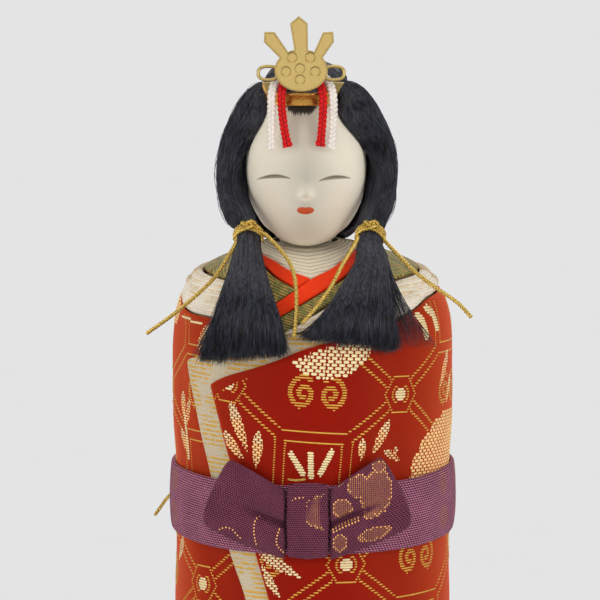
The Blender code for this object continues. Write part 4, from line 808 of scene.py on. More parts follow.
def mark_weave(shape, marks):
    """Writes each corner's place on the cloth, in millimetres, into a map named weave."""
    layer = shape.loops.layers.uv.new("weave")
    for face in shape.faces:
        for loop in face.loops:
            loop[layer].uv = marks[loop.vert]


def shaped(columns, rows, place, closed=False):
    """Grid whose corners place(u, v) puts in millimetres, with a map named weave."""
    shape = bmesh.new()
    bmesh.ops.create_grid(shape, x_segments=columns, y_segments=rows, size=0.5)
    half = max(vert.co.x for vert in shape.verts) * 2
    marks = {}
    for vert in shape.verts:
        point, mark = place(vert.co.x / half + 0.5, vert.co.y / half + 0.5)
        vert.co = Vector(point) * MM
        marks[vert] = mark
    mark_weave(shape, marks)
    if closed:
        bmesh.ops.remove_doubles(shape, verts=shape.verts, dist=0.002 * MM)
        bmesh.ops.recalc_face_normals(shape, faces=shape.faces)
    return shape


def cloth(name, finish, columns, rows, span, low, high, depth, thick, edge=None, seam=False):
    """Sheet of cloth on the trunk between two heights, with a folded edge all round."""
    first, last = span

    def place(u, v):
        angle = mix(first, last, u)
        bottom, top = low(angle), high(angle)
        height = mix(bottom, top, v)
        if edge is not None:
            share = 1 - smooth(first, min(first + 70, last), angle)
            angle += (edge(height) - first) * share
        return on_trunk(angle, height, depth(angle, height)), (arc(angle), height)

    item = piece(name, shaped(columns, rows, place, closed=seam), "body", finish)
    modifier(item, "cloth thickness", "SOLIDIFY", thickness=thick * MM, offset=-1.0, use_even_offset=True)
    soften(item, "folded edge")
    return item


def spline(p0, p1, p2, p3, t):
    """Point at t from 0 to 1 on the smooth curve from p1 to p2."""
    return 0.5 * (2 * p1 + (p2 - p0) * t + (2 * p0 - 5 * p1 + 4 * p2 - p3) * t ** 2
                  + (3 * p1 - p0 - 3 * p2 + p3) * t ** 3)


def distances(points):
    """Millimetres along a route at each of its points."""
    result = [0.0]
    for a, b in zip(points, points[1:]):
        result.append(result[-1] + (b - a).length)
    return result


def smooth_route(points, spacing):
    """Points a set distance apart along a smooth curve through the route's own points."""
    route = [Vector(point) for point in points]
    padded = [route[0] * 2 - route[1]] + route + [route[-1] * 2 - route[-2]]
    dense = []
    for corners in zip(padded, padded[1:], padded[2:], padded[3:]):
        dense += [spline(*corners, step / 12) for step in range(12)]
    dense.append(route[-1])
    lengths = distances(dense)
    count = max(2, round(lengths[-1] / spacing))
    result = []
    for step in range(count + 1):
        target = lengths[-1] * step / count
        index = next((i for i in range(len(lengths) - 1) if target <= lengths[i + 1]), len(lengths) - 2)
        span = lengths[index + 1] - lengths[index]
        result.append(dense[index].lerp(dense[index + 1], (target - lengths[index]) / span))
    return result


def frames_along(points, side):
    """Side and front direction at each point, turned as little as the route allows."""
    result = []
    across = side
    for index, point in enumerate(points):
        ahead = points[min(index + 1, len(points) - 1)] - points[max(index - 1, 0)]
        ahead.normalize()
        across = (across - ahead * across.dot(ahead)).normalized()
        result.append((point, across, ahead.cross(across)))
    return result


def rope(name, body, finish, points, around, radius_at, flat=1.0, side=Vector((1, 0, 0))):
    """Closed cord along points. radius_at(turn, millimetres along, share) shapes its section."""
    stations = frames_along(points, side)
    lengths = distances(points)
    rows = len(points) + 1

    def place(u, v):
        row = round(v * rows)
        index = clamp(row - 1, 0, len(points) - 1)
        point, across, front = stations[index]
        turn = u * math.tau
        radius = radius_at(turn, lengths[index], lengths[index] / lengths[-1])
        if row in (0, rows):
            radius = 0.0
        spot = point + across * math.cos(turn) * radius + front * math.sin(turn) * radius * flat
        return spot, (u * 3.0, lengths[index])

    return piece(name, shaped(around, rows, place, closed=True), body, finish)


def twisted(radius, pitch, plies=2, depth=0.2):
    """Section of a cord of a few plies, each turn taking pitch millimetres."""
    def radius_at(turn, along, share):
        ply = abs(math.cos(plies / 2 * (turn - math.tau * along / pitch)))
        return radius * (1 - depth + depth * ply ** 0.7)
    return radius_at


def declare_cord(points, exit_point, width):
    tuple(Vector(exit_point) * MM)
    distances(points)[-1] * MM
    width * MM
    [tuple(point * MM) for point in points]


def tie_frame(sign):
    """Centre of a hair tie, and the directions down its tassel, to the right and to the front."""
    x, lean = TIE_AT[sign]
    centre = Vector((NECK_X + x, TIE.y, TIE.z - 1.9))
    down = Vector((lean, -0.85, -1)).normalized()
    right = Vector((1, 0, 0))
    right = (right - down * right.dot(down)).normalized()
    return centre, down, right, down.cross(right)


# The brocade's figures: a lattice of long six-sided cells, curls, a fan, blossoms and leaves.
CELL = 47.8
CORNER = (8.6, 11.5)
CURL = ((1.9, 3.6), (3.0, 4.4), (4.3, 4.3), (5.9, 3.3), (6.8, 1.5), (6.9, -0.3), (6.2, -2.2), (4.4, -3.5),
        (2.6, -2.7), (1.6, -1.1), (1.6, 0.5), (2.6, 1.7), (4.0, 1.6), (4.8, 0.5), (4.4, -0.7), (3.4, -0.9))
UPPER = {
    "centre": (1.1, 122.5), "tilt": -4.0, "tipped": True,
    "leaves": (((-22.0, 119.4), (-17.2, 106.6), 1.6), ((-14.0, 112.2), (-15.0, 102.4), 1.45),
               ((-25.2, 111.8), (-18.4, 104.2), 1.5), ((21.2, 114.4), (15.8, 105.8), 1.45),
               ((12.9, 110.2), (12.5, 104.6), 1.1), ((-25.0, 124.6), (-18.6, 127.6), 1.1),
               ((48.4, 130.0), (42.0, 120.4), 1.4), ((51.0, 123.0), (47.0, 115.5), 1.2),
               ((19.6, 106.4), (25.0, 103.0), 1.0), ((24.0, 107.0), (22.4, 103.6), 0.8)),
    "strokes": (((32.0, 141.6), (34.4, 139.4), (35.4, 135.2), 1.2), ((37.6, 142.4), (40.4, 140.4),
                (41.2, 136.6), 1.2)),
    "blossoms": ((3.9, 139.0, 12.8, 12, 2), (48.0, 94.0, 20.0, 18, 3)),
    "rays": (((-5.6, 106.6), (-2.6, 101.4)), ((-0.6, 106.8), (-0.5, 100.6)), ((4.7, 107.2), (1.9, 101.4))),
}
UNDER = {
    "centre": (-34.9, 119.5), "tilt": 2.0, "tipped": True,
    "leaves": (((-31.6, 138.0), (-37.4, 131.6), 2.1), ((-46.4, 119.0), (-44.8, 111.6), 1.3),
               ((-42.0, 117.4), (-43.4, 109.8), 1.2), ((-46.6, 108.6), (-43.8, 102.2), 1.2)),
    "strokes": (((-44.6, 112.6), (-43.6, 107.4), (-43.2, 101.0), 0.6),
                ((-48.0, 138.9), (-40.0, 138.6), (-35.4, 138.3), 0.36)),
    "blossoms": ((-58.0, 143.0, 8.0, 12, 3), (-70.0, 100.0, 14.0, 14, 3)), "rays": (),
}
LOWER = {
    "centre": (32.6, 76.2), "tilt": -1.0, "tipped": False,
    "leaves": (((-14.2, 79.6), (-3.2, 73.4), 1.6), ((-15.6, 77.6), (-8.4, 67.6), 1.4),
               ((-4.0, 64.0), (-12.0, 56.0), 1.6), ((4.0, 60.0), (2.0, 50.0), 1.5)),
    "strokes": (),
    "blossoms": ((8.7, 40.0, 13.0, 14, 3), (31.2, 95.0, 9.0, 12, 2), (53.7, 40.0, 12.0, 14, 2)),
    "rays": (((-6.0, 40.0), (-9.0, 34.0)),),
}
LOWER_UNDER = {
    "centre": (-58.6, 67.8), "tilt": 1.0, "tipped": False,
    "leaves": (((-46.0, 79.0), (-50.0, 72.0), 1.4),), "strokes": (),
    "blossoms": ((-34.7, 38.0, 12.0, 14, 3), (-79.7, 40.0, 12.0, 14, 2)), "rays": (),
}
GOLD, CREAM, PEACH, SOLID = 1, 2, 3, 4


def near_line(p, q, points):
    """Distance of many points to a line of a few corners."""
    best = np.full(p.shape, 1e9)
    for (x0, y0), (x1, y1) in zip(points, points[1:]):
        dx, dy = x1 - x0, y1 - y0
        t = np.clip(((p - x0) * dx + (q - y0) * dy) / (dx * dx + dy * dy), 0, 1)
        best = np.minimum(best, np.hypot(p - x0 - dx * t, q - y0 - dy * t))
    return best


def lattice(p, q, pitch):
    """Kinds of weft that the repeating lattice asks for along one row."""
    x = np.abs(np.mod(p + CELL / 2, CELL) - CELL / 2)
    level = (q + CELL / 2) % CELL - CELL / 2
    y = np.full(p.shape, abs(level))
    slope = math.hypot(CORNER[1], CELL / 2 - CORNER[0])
    slant = (CORNER[1] * (x - CORNER[0]) + (CELL / 2 - CORNER[0]) * (y - CORNER[1])) / slope
    wall, shelf = x - CORNER[0], y - CORNER[1]
    depth = np.maximum(np.maximum(np.minimum(-slant, -shelf), np.minimum(slant, wall)),
                       np.minimum(-wall, shelf))
    off = np.abs(depth - 1.3)
    nearest = np.minimum(np.minimum(np.abs(slant), np.abs(wall)), np.abs(shelf))
    width = np.where(nearest == np.abs(slant), 0.36, np.where(nearest == np.abs(wall), 0.22, pitch / 2))
    ring = np.maximum(y, 0.87 * np.abs(x - CELL / 2) + 0.5 * y)
    kind = np.where((off < width) & (ring > 5.0), GOLD, 0)
    ring_width = np.where(ring == y, pitch / 2, 0.3)
    kind = np.where(np.abs(ring - 4.5) < ring_width, GOLD, kind)
    away = np.hypot(x - CELL / 2, y)
    kind = np.where((away > 2.3) & (away < 3.0) & (y < 2.4), GOLD, kind)
    kind = np.where(away < 1.75, SOLID, kind)
    curls = near_line(x, np.full(p.shape, level), CURL)
    return np.where(curls < 0.66, GOLD, kind)


def figures(pattern, p, q, kind, coarse):
    """Adds the figures of one cloth to a row: its blossoms if coarse, or else its leaves and strokes."""
    turn = math.radians(pattern["tilt"])
    centre = pattern["centre"]

    def local(point):
        dx, dy = point[0] - centre[0], point[1] - centre[1]
        return (dx * math.cos(turn) + dy * math.sin(turn), dy * math.cos(turn) - dx * math.sin(turn))

    level = np.full(p.shape, q)
    for shift in (-2 * CELL, 0.0, 2 * CELL):
        for x, y, radius, petals, blossom_kind in pattern["blossoms"]:
            cx, cy = local((x, y))
            dx, dy = p - cx - shift, level - cy
            angle = np.arctan2(dy, dx)
            edge = radius * (0.93 + 0.07 * np.abs(np.cos(angle * petals / 2)) ** 0.5)
            away = np.hypot(dx, dy)
            vein = np.abs(np.sin(angle * petals / 2)) * away < 0.32
            inside = (away < edge) & ~(vein & (away > radius * 0.3))
            if coarse:
                kind = np.where(inside, blossom_kind, kind)
            else:
                kind = np.where(away < edge, 0, kind)
        if coarse:
            continue
        for tip, root, half in pattern["leaves"]:
            (x0, y0), (x1, y1) = local(tip), local(root)
            length = math.hypot(x1 - x0, y1 - y0)
            ux, uy = (x1 - x0) / length, (y1 - y0) / length
            dx, dy = p - x0 - shift, level - y0
            along = np.clip((dx * ux + dy * uy) / length, 0, 1)
            off = np.abs(-dx * uy + dy * ux)
            within = (dx * ux + dy * uy > 0) & (dx * ux + dy * uy < length)
            wide = half * np.sin(math.pi * along ** 0.8) ** 0.7
            thread = np.where(along > 0.35, PEACH, CREAM) if pattern["tipped"] else CREAM
            kind = np.where(within & (off < wide), thread, kind)
        for *points, half in pattern["strokes"]:
            away = near_line(p - shift, level, [local(point) for point in points])
            kind = np.where(away < half, SOLID, kind)
        for points in pattern["rays"]:
            away = near_line(p - shift, level, [local(point) for point in points])
            kind = np.where(away < 0.8, SOLID, kind)
    return kind


def on_cloth(pattern, p, q):
    """Millimetres round and up the cloth of a place in a pattern's own axes."""
    turn = math.radians(pattern["tilt"])
    u0, z0 = pattern["centre"]
    return (u0 + p * math.cos(turn) - q * math.sin(turn), z0 + p * math.sin(turn) + q * math.cos(turn))


def weft_floats(pattern, span, heights, inside, pitch, coarse):
    """Runs of raised weft on a cloth: (start, end, height, kind, sunk start, sunk end)."""
    u0, z0 = pattern["centre"]
    p = np.arange(span[0] - u0 - 4, span[1] - u0 + 4, 0.16)
    runs = []
    low = math.floor((heights[0] - z0 - 9) / pitch)
    high = math.ceil((heights[1] - z0 + 9) / pitch)
    for row in range(low, high):
        q = row * pitch
        u, z = on_cloth(pattern, p, q)
        ground = np.zeros(p.shape, int) if coarse else lattice(p, q, pitch)
        kind = figures(pattern, p, q, ground, coarse)
        kind = np.where(inside(u, z), kind, 0)
        if not kind.any():
            continue
        brick = pitch * 2.3
        cut = np.mod(p + (row % 2) * brick / 2, brick) > brick - pitch * 0.55
        for code in (GOLD, CREAM, PEACH, SOLID):
            chosen = (kind == code) & ~cut if code in (CREAM, PEACH) else kind == code
            edges = np.flatnonzero(np.diff(np.concatenate(([0], chosen.view(np.int8), [0]))))
            for first, last in zip(edges[::2], edges[1::2]):
                start, stop = p[first] - 0.08, p[last - 1] + 0.08
                parts = max(1, math.ceil((stop - start) / 2.4))
                for part in range(parts):
                    runs.append((mix(start, stop, part / parts), mix(start, stop, (part + 1) / parts), q,
                                 CREAM if code == SOLID else code, part == 0, part == parts - 1))
    return runs


def threads(count, place, kind_of):
    """Short threads, each of 4 columns and 3 lines, whose corners place(index, column, line) puts."""
    shape = bmesh.new()
    last = 4 * count - 1
    bmesh.ops.create_grid(shape, x_segments=last, y_segments=2, size=0.5)
    half = max(vert.co.x for vert in shape.verts) * 2
    spots = {vert: (round((vert.co.x / half + 0.5) * last), round((vert.co.y / half + 0.5) * 2))
             for vert in shape.verts}
    gaps = [face for face in shape.faces if len({spots[vert][0] // 4 for vert in face.verts}) > 1]
    bmesh.ops.delete(shape, geom=gaps, context="FACES_ONLY")
    marks = {}
    for vert in shape.verts:
        column, line = spots[vert]
        point, marks[vert] = place(column // 4, column % 4, line)
        vert.co = point * MM
    mark_weave(shape, marks)
    for face in shape.faces:
        face.material_index = kind_of(spots[face.verts[0]][0] // 4)
    return shape


def float_piece(name, finishes, pattern, runs, surface, thick):
    """One mesh of raised threads, each bowed up in the middle and sunk at its ends."""
    def place(index, column, line):
        start, stop, q, code, *sunk = runs[index]
        inset = min(0.22, (stop - start) * 0.35)
        p = (start, start + inset, stop - inset, stop)[column]
        low = column in (0, 3) and sunk[column // 3]
        q += (line - 1) * thick[code] * (0.55 if low else 1.0) / 2
        rise = (0.04 if line == 1 else -0.06) if low else (0.17 if line == 1 else -0.02)
        u, z = on_cloth(pattern, p, q)
        angle = math.degrees(u / CHEST)
        return on_trunk(angle, z, surface(angle, z) + rise), (u, z)

    return piece(name, threads(len(runs), place, lambda index: runs[index][3] - 1), "body", *finishes)


def hairs(name, finish, paths, radii):
    """Loose hairs as thin tapering curves, made into one mesh."""
    curve = bpy.data.curves.new(name, "CURVE")
    curve.dimensions = "3D"
    curve.bevel_depth = 1.0
    curve.bevel_resolution = 0
    curve.use_fill_caps = False
    for points, radius in zip(paths, radii):
        hair = curve.splines.new("POLY")
        hair.points.add(len(points) - 1)
        flat = []
        for point in points:
            flat.extend((point.x * MM, point.y * MM, point.z * MM, 1.0))
        hair.points.foreach_set("co", flat)
        count = len(points) - 1
        hair.points.foreach_set("radius", [
            radius * MM * (1.0 - 0.75 * (i / count) ** 3) for i in range(count + 1)])
    drawn = bpy.data.objects.new(name, curve)
    mesh = bpy.data.meshes.new_from_object(drawn)
    bpy.data.objects.remove(drawn)
    bpy.data.curves.remove(curve)
    mesh.name = name
    mesh.materials.clear()
    mesh.materials.append(finish)
    mesh.shade_smooth()
    item = placed(name, mesh)
    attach(item, "head")


HAIR_STEPS = [step / 7 for step in range(8)]


def through(rows, place, *at):
    """Point at a place from 0 to 1 on a smooth curve through the rows' points for at."""
    spot = clamp(place) * (len(rows) - 1)
    index = min(int(spot), len(rows) - 2)
    t = spot - index
    p1, p2 = rows[index](*at), rows[index + 1](*at)
    p0 = rows[index - 1](*at) if index else p1 * 2 - p2
    p3 = rows[index + 2](*at) if index + 2 < len(rows) else p2 * 2 - p1
    return spline(p0, p1, p2, p3, t)


HEAD_TABLES = [[(row[4] * HEAD_TALL + CHIN, row[i]) for row in HEAD_ROWS[2:]] for i in range(3)]
HEAD_LOW, HEAD_TOP = HEAD_TABLES[0][0][0], HEAD_TABLES[0][-2][0]
HEAD_STEP = 0.2
HEAD_STEPS = [[table_at(table, HEAD_LOW + step * HEAD_STEP) for table in HEAD_TABLES]
              for step in range(int((HEAD_TOP - HEAD_LOW) / HEAD_STEP) + 2)]
HEAD_COLUMNS = [[(k, row[i]) for k, row in enumerate(HEAD_ROWS)] for i in range(6)]


def head_point(turn, place):
    """Point on the head at a turn in degrees and a place from 0 at the neck to 1 at the top."""
    spot = place * (len(HEAD_ROWS) - 1)
    wide, front, back, low_front, low_side, low_back = (table_at(table, spot) for table in HEAD_COLUMNS)
    angle = math.radians(turn)
    cosine = math.cos(angle)
    x = HEAD_HALF * wide * math.sin(angle)
    y = -(FACE_DEPTH * front if cosine > 0 else SKULL_DEPTH * back) * cosine
    end = low_front if cosine > 0 else low_back
    z = CHIN + HEAD_TALL * mix(low_side, end, cosine * cosine)
    if cosine > 0:
        above = z - (CHIN + HEAD_TALL * 0.318)
        spread = 2.6 if above > 0 else 0.6
        y -= 1.5 * math.exp(-(x / 1.5) ** 2 - (above / spread) ** 2)
        wing = math.exp(-((abs(x) - 1.25) / 0.75) ** 2 - ((above - 0.35) / 0.8) ** 2)
        y -= 0.32 * wing
        lips = math.exp(-((x + 0.15) / 1.9) ** 2 - ((z - 168.35) / 0.85) ** 2)
        y -= 0.22 * lips
        for middle in (-8.6, 7.65):
            lid = math.exp(-((x - middle) / 3.6) ** 2 - ((z - 176.2) / 1.2) ** 2)
            y += 0.16 * lid
    return Vector((NECK_X + x, y, z))


def on_head(turn, height, depth):
    """Point on the head at a turn and a height, moved out by depth."""
    def surface(at_turn, at_height):
        place = clamp((at_height - HEAD_LOW) / HEAD_STEP, 0.0, len(HEAD_STEPS) - 1.001)
        share = place - int(place)
        below, above = HEAD_STEPS[int(place)], HEAD_STEPS[int(place) + 1]
        wide, front, back = (mix(a, b, share) for a, b in zip(below, above))
        angle = math.radians(at_turn)
        side = FACE_DEPTH * front if math.cos(angle) > 0 else SKULL_DEPTH * back
        return Vector((NECK_X + HEAD_HALF * wide * math.sin(angle), -side * math.cos(angle), at_height))

    across = surface(turn + 1, height) - surface(turn - 1, height)
    up = surface(turn, min(height + 0.4, HEAD_TOP)) - surface(turn, height - 0.4)
    return surface(turn, height) + across.cross(up).normalized() * depth


def sweep_rows(sign):
    """Sections of one side's swept hair, from the crown to the tie, as functions of a turn."""
    rows = []
    for share, first, last, thick, nearer in SWEEP_TOP:
        def row(angle, lift=0.0, share=share, first=first - nearer * (sign > 0), last=last, thick=thick):
            turn = mix(first, last, 0.5 - 0.5 * math.cos(angle))
            proud = (7.8 if sign < 0 else 8.7) * thick * max(0.0, math.sin(angle)) ** 0.55
            return on_head(sign * turn, CHIN + share * HEAD_TALL, HAIR_GAP + proud + lift)
        rows.append(row)
    for x, y, share, wide, long, lean in SWEEP_LOW:
        middle = Vector((NECK_X + sign * TIE.x * x + (0.5 if sign > 0 else 0.0), TIE.y * y,
                         CHIN + share * HEAD_TALL))
        along = Vector((0, -1, lean)).normalized() * long
        across = Vector((sign, -0.12, 0)) * wide

        def row(angle, lift=0.0, middle=middle, along=along, across=across):
            reach = along * math.cos(angle) + across * math.sin(angle)
            return middle + reach * 7.8 + reach.normalized() * lift
        rows.append(row)
    centre, down, _, _ = tie_frame(sign)
    end = centre - down * (WINDING_TURNS * WINDING_PITCH / 2 + GAP)
    along = Vector((0, -1, 0.6)).normalized()
    across = down.cross(along).normalized()
    if across.x * sign < 0:
        across = -across
    along = across.cross(down).normalized()
    if along.y > 0:
        along = -along

    def row(angle, lift=0.0):
        reach = across * math.sin(angle) * TIE_WIDE + along * math.cos(angle) * TIE_RADIUS
        return end + reach * (1 + lift * 0.1)
    rows.append(row)
    return rows


def tassel_rows(side, sign):
    """Sections of a tassel from above its winding to its cut end, as functions of (across, out)."""
    centre, down, right, outward = tie_frame(sign)
    half = WINDING_TURNS * WINDING_PITCH / 2
    rows = []
    for shift in (-half, half + 0.43):
        def row(a, b, shift=shift):
            return centre + down * shift + right * a * TIE_WIDE + outward * b * TIE_RADIUS
        rows.append(row)
    end_share, slant = TASSEL_ENDS[side]
    for (drop, reach, wide, thick), path in zip(TASSEL_ROWS, TASSEL_PATHS[side]):
        def row(a, b, drop=drop, reach=reach, wide=wide, thick=thick, path=path):
            x = path * TIE.x + mix(11.2, 11.2 if side == "left" else 12.6, drop) * wide * a
            radius = TASSEL_REACH * reach + 2.3 * thick * (1 + b)
            z = TIE.z - 32.0 * drop * mix(1.0, end_share, drop ** 3) - 12.4 * wide * a * slant * drop ** 3
            return Vector((NECK_X + x, -math.sqrt(max(radius * radius - x * x, 1.0)), z))
        rows.append(row)
    return rows


def bow_back(x):
    return -40.65 + 0.0105 * x * x


def bow_front(sign, u, v):
    """Point on the front of a bow loop: u from the knot to the fold, v from the bottom up."""
    belly = math.sin(math.pi * math.sqrt(v)) * 0.20 * LOOP_LONG * u
    length = LOOP_LONG * mix(0.92, 0.74 if sign < 0 else 0.68, v) + belly
    corner = abs(2 * v - 1) ** 9 * u ** 7
    x = BOW_X + sign * (5.8 + u * length - 1.3 * corner)
    z = SASH_Z - 10.1 + v * 20.2 * mix(0.93, 1.0, u) + 0.28 * LOOP_LONG * u
    z += (0.9 if sign < 0 else 1.9) * v * u - (2 * v - 1) * 1.1 * corner
    puff = (1 - abs(2 * v - 1) ** 4) * (1 - 0.45 * u ** 3)
    near = math.exp(-((v - 0.5) / 0.05) ** 2)
    crease = 0.95 * near * (1 - smooth(0.25, 0.75, u))
    ruck = 0.28 * math.sin(9 * v + 5 * u + sign) * (1 - u) * (1 - near)
    swell = 3.6 * mix(0.3, 1.0, puff) * (1 - crease) + ruck
    return Vector((x, bow_back(x) - swell, z)), bow_back(x)


def plate_point(across, up, depth):
    """Point on the crown plate, which leans back about its lower edge."""
    rise = up + DISC[1]
    lean, stand = math.sin(TILT), math.cos(TILT)
    y = DISC_Y - DISC[1] * math.tan(TILT) + rise * lean + depth * stand
    return Vector((CROWN_X + across, y, DISC_Z - DISC[1] + rise * stand - depth * lean))


def plate_outline(steps=96):
    """Outline of the disc and its three pointed rays."""
    rays = []
    for angle, length, wide in RAYS:
        root = math.asin(wide * 0.62 / DISC[1])
        rays.append((angle - root, angle + root, angle, length, wide))
    points, drawn = [], set()
    for i in range(steps):
        turn = -math.pi + math.tau * (i + 0.5) / steps
        ray = next((ray for ray in rays if ray[0] - 0.03 < turn < ray[1] + 0.03), None)
        if ray is None:
            points.append((DISC[0] * math.sin(turn), DISC[1] * math.cos(turn)))
            continue
        if ray in drawn:
            continue
        drawn.add(ray)
        first, last, angle, length, wide = ray
        axis = Vector((math.sin(angle), math.cos(angle)))
        side = Vector((math.cos(angle), -math.sin(angle)))
        points.append((DISC[0] * math.sin(first), DISC[1] * math.cos(first)))
        for along, across in ((0.865 * length, -wide), (length, 0.0), (0.865 * length, wide)):
            tip = axis * along + side * across
            points.append((tip.x - 0.6, tip.y))
        points.append((DISC[0] * math.sin(last), DISC[1] * math.cos(last)))
    return points


def cup_section(angle):
    """Closed section of the cup's wall and floor rim, at an angle from the front."""
    turn = math.radians(angle)
    raised = 2.2 * smooth(62, 96, abs(angle))
    low = CUP_TOP - 3.6 + raised * 0.75
    floor = low + 1.9
    top = CUP_TOP + raised
    width = mix(3.6, 1.6, smooth(30, 62, abs(angle)))
    section = (
        (1.6, top), (1.825, top - 0.45), (0.88, mix(low, top, 0.55)), (0.45, low + 0.9),
        (0.45, low + 0.225), (0.0, low), (-0.8, low + 0.45), (-0.8, floor - 0.8), (-width, floor - 0.8),
        (-width, floor), (-0.8, floor), (0.8, top),
    )
    ring = []
    for outward, height in section:
        wide, deep = 9.4 + outward * 0.5, 6.0 + outward
        ring.append(Vector((CROWN_X + wide * math.sin(turn), -11.3 - deep * math.cos(turn), height)))
    return ring


def aimed(item, place, target):
    """Puts a camera or a lamp at a place and turns it to a target."""
    item.location = place
    item.rotation_mode = "QUATERNION"
    item.rotation_quaternion = (Vector(target) - item.location).to_track_quat("-Z", "Y")


def seen_ray(tree):
    """Socket that is 1 for rays that show a thing to the camera: straight, mirrored or through glass."""
    path = tree.nodes.new("ShaderNodeLightPath")
    seen = path.outputs["Is Camera Ray"]
    for kind in ("Is Glossy Ray", "Is Transmission Ray"):
        either = tree.nodes.new("ShaderNodeMath")
        either.operation = "MAXIMUM"
        tree.links.new(seen, either.inputs[0])
        tree.links.new(path.outputs[kind], either.inputs[1])
        seen = either.outputs[0]
    return seen


class DOLL_OT_camera(bpy.types.Operator):
    """Places the camera at the photograph's height and lens"""

    bl_idname = "doll.camera"
    bl_label = "Camera"

    def execute(self, context):
        data = bpy.data.cameras.new("camera")
        data.sensor_width = 36.0
        data.lens = 244.4
        data.clip_start = 0.05
        data.clip_end = 20.0
        camera = placed("camera", data)
        aimed(camera, (-0.0034, -1.0879, 0.3041), (-0.0034, 0.0, 0.1415))
        context.scene.camera = camera
        return {"FINISHED"}


class DOLL_OT_stage(bpy.types.Operator):
    """Makes the pale floor, the backdrop and the soft studio lights"""

    bl_idname = "doll.stage"
    bl_label = "Studio"

    def execute(self, context):
        c = context.scene.doll_colours
        shape = bmesh.new()
        bmesh.ops.create_circle(shape, cap_ends=True, segments=96, radius=2.6)
        f = Finish("pale_floor")
        spot = f.place()
        x, y, _ = f.parts(spot)
        away = (x * x + y * y) ** 0.5
        tone = f.mix(f.noise(spot, 0.02, 3.0), *shades(c.floor, 0.99, 1.01))
        paint = f.add("ShaderNodeBsdfDiffuse", {}, {"Color": tone})
        glow = f.add("ShaderNodeEmission", {}, {"Color": tone, "Strength": 1.0})
        share = away.ramp(60.0, 190.0) * Value(f, seen_ray(f.tree))
        both = f.tree.nodes.new("ShaderNodeMixShader")
        f.tree.links.new(share.socket, both.inputs[0])
        f.tree.links.new(paint.socket, both.inputs[1])
        f.tree.links.new(glow.socket, both.inputs[2])
        f.add_output(Value(f, both.outputs[0]))
        placed("floor", mesh_of("floor", shape, f.material))

        world = bpy.data.worlds.new("studio")
        world.use_nodes = True
        tree = world.node_tree
        tree.nodes.clear()
        sky = tree.nodes.new("ShaderNodeBackground")
        sky.inputs["Color"].default_value = (1.0, 0.97, 0.92, 1.0)
        sky.inputs["Strength"].default_value = 0.30
        seen = tree.nodes.new("ShaderNodeBackground")
        seen.inputs["Color"].default_value = (*c.floor, 1.0)
        choose = tree.nodes.new("ShaderNodeMixShader")
        output = tree.nodes.new("ShaderNodeOutputWorld")
        tree.links.new(seen_ray(tree), choose.inputs[0])
        tree.links.new(sky.outputs[0], choose.inputs[1])
        tree.links.new(seen.outputs[0], choose.inputs[2])
        tree.links.new(choose.outputs[0], output.inputs["Surface"])
        context.scene.world = world

        for name, place, size, power, shade_of in (
            ("left_softbox", (-0.66, -0.62, 0.30), (0.6, 0.6), 3.9, (1.0, 0.995, 0.98)),
            ("right_softbox", (0.66, -0.62, 0.30), (0.6, 0.6), 4.2, (1.0, 0.995, 0.98)),
            ("front_softbox", (0.0, -1.5, 0.62), (0.9, 0.6), 3.4, (1.0, 0.995, 0.98)),
            ("top_softbox", (0.0, -0.10, 0.95), (0.7, 0.6), 2.8, (1.0, 0.99, 0.98)),
            ("back_softbox", (0.0, 0.8, 0.6), (0.7, 0.5), 2.0, (1.0, 0.99, 0.98)),
        ):
            data = bpy.data.lights.new(name, "AREA")
            data.shape = "RECTANGLE"
            data.size, data.size_y = size
            data.energy = power
            data.color = shade_of
            aimed(placed(name, data), place, (0.0, 0.0, 0.13))

        context.scene.view_settings.view_transform = "Standard"
        return {"FINISHED"}


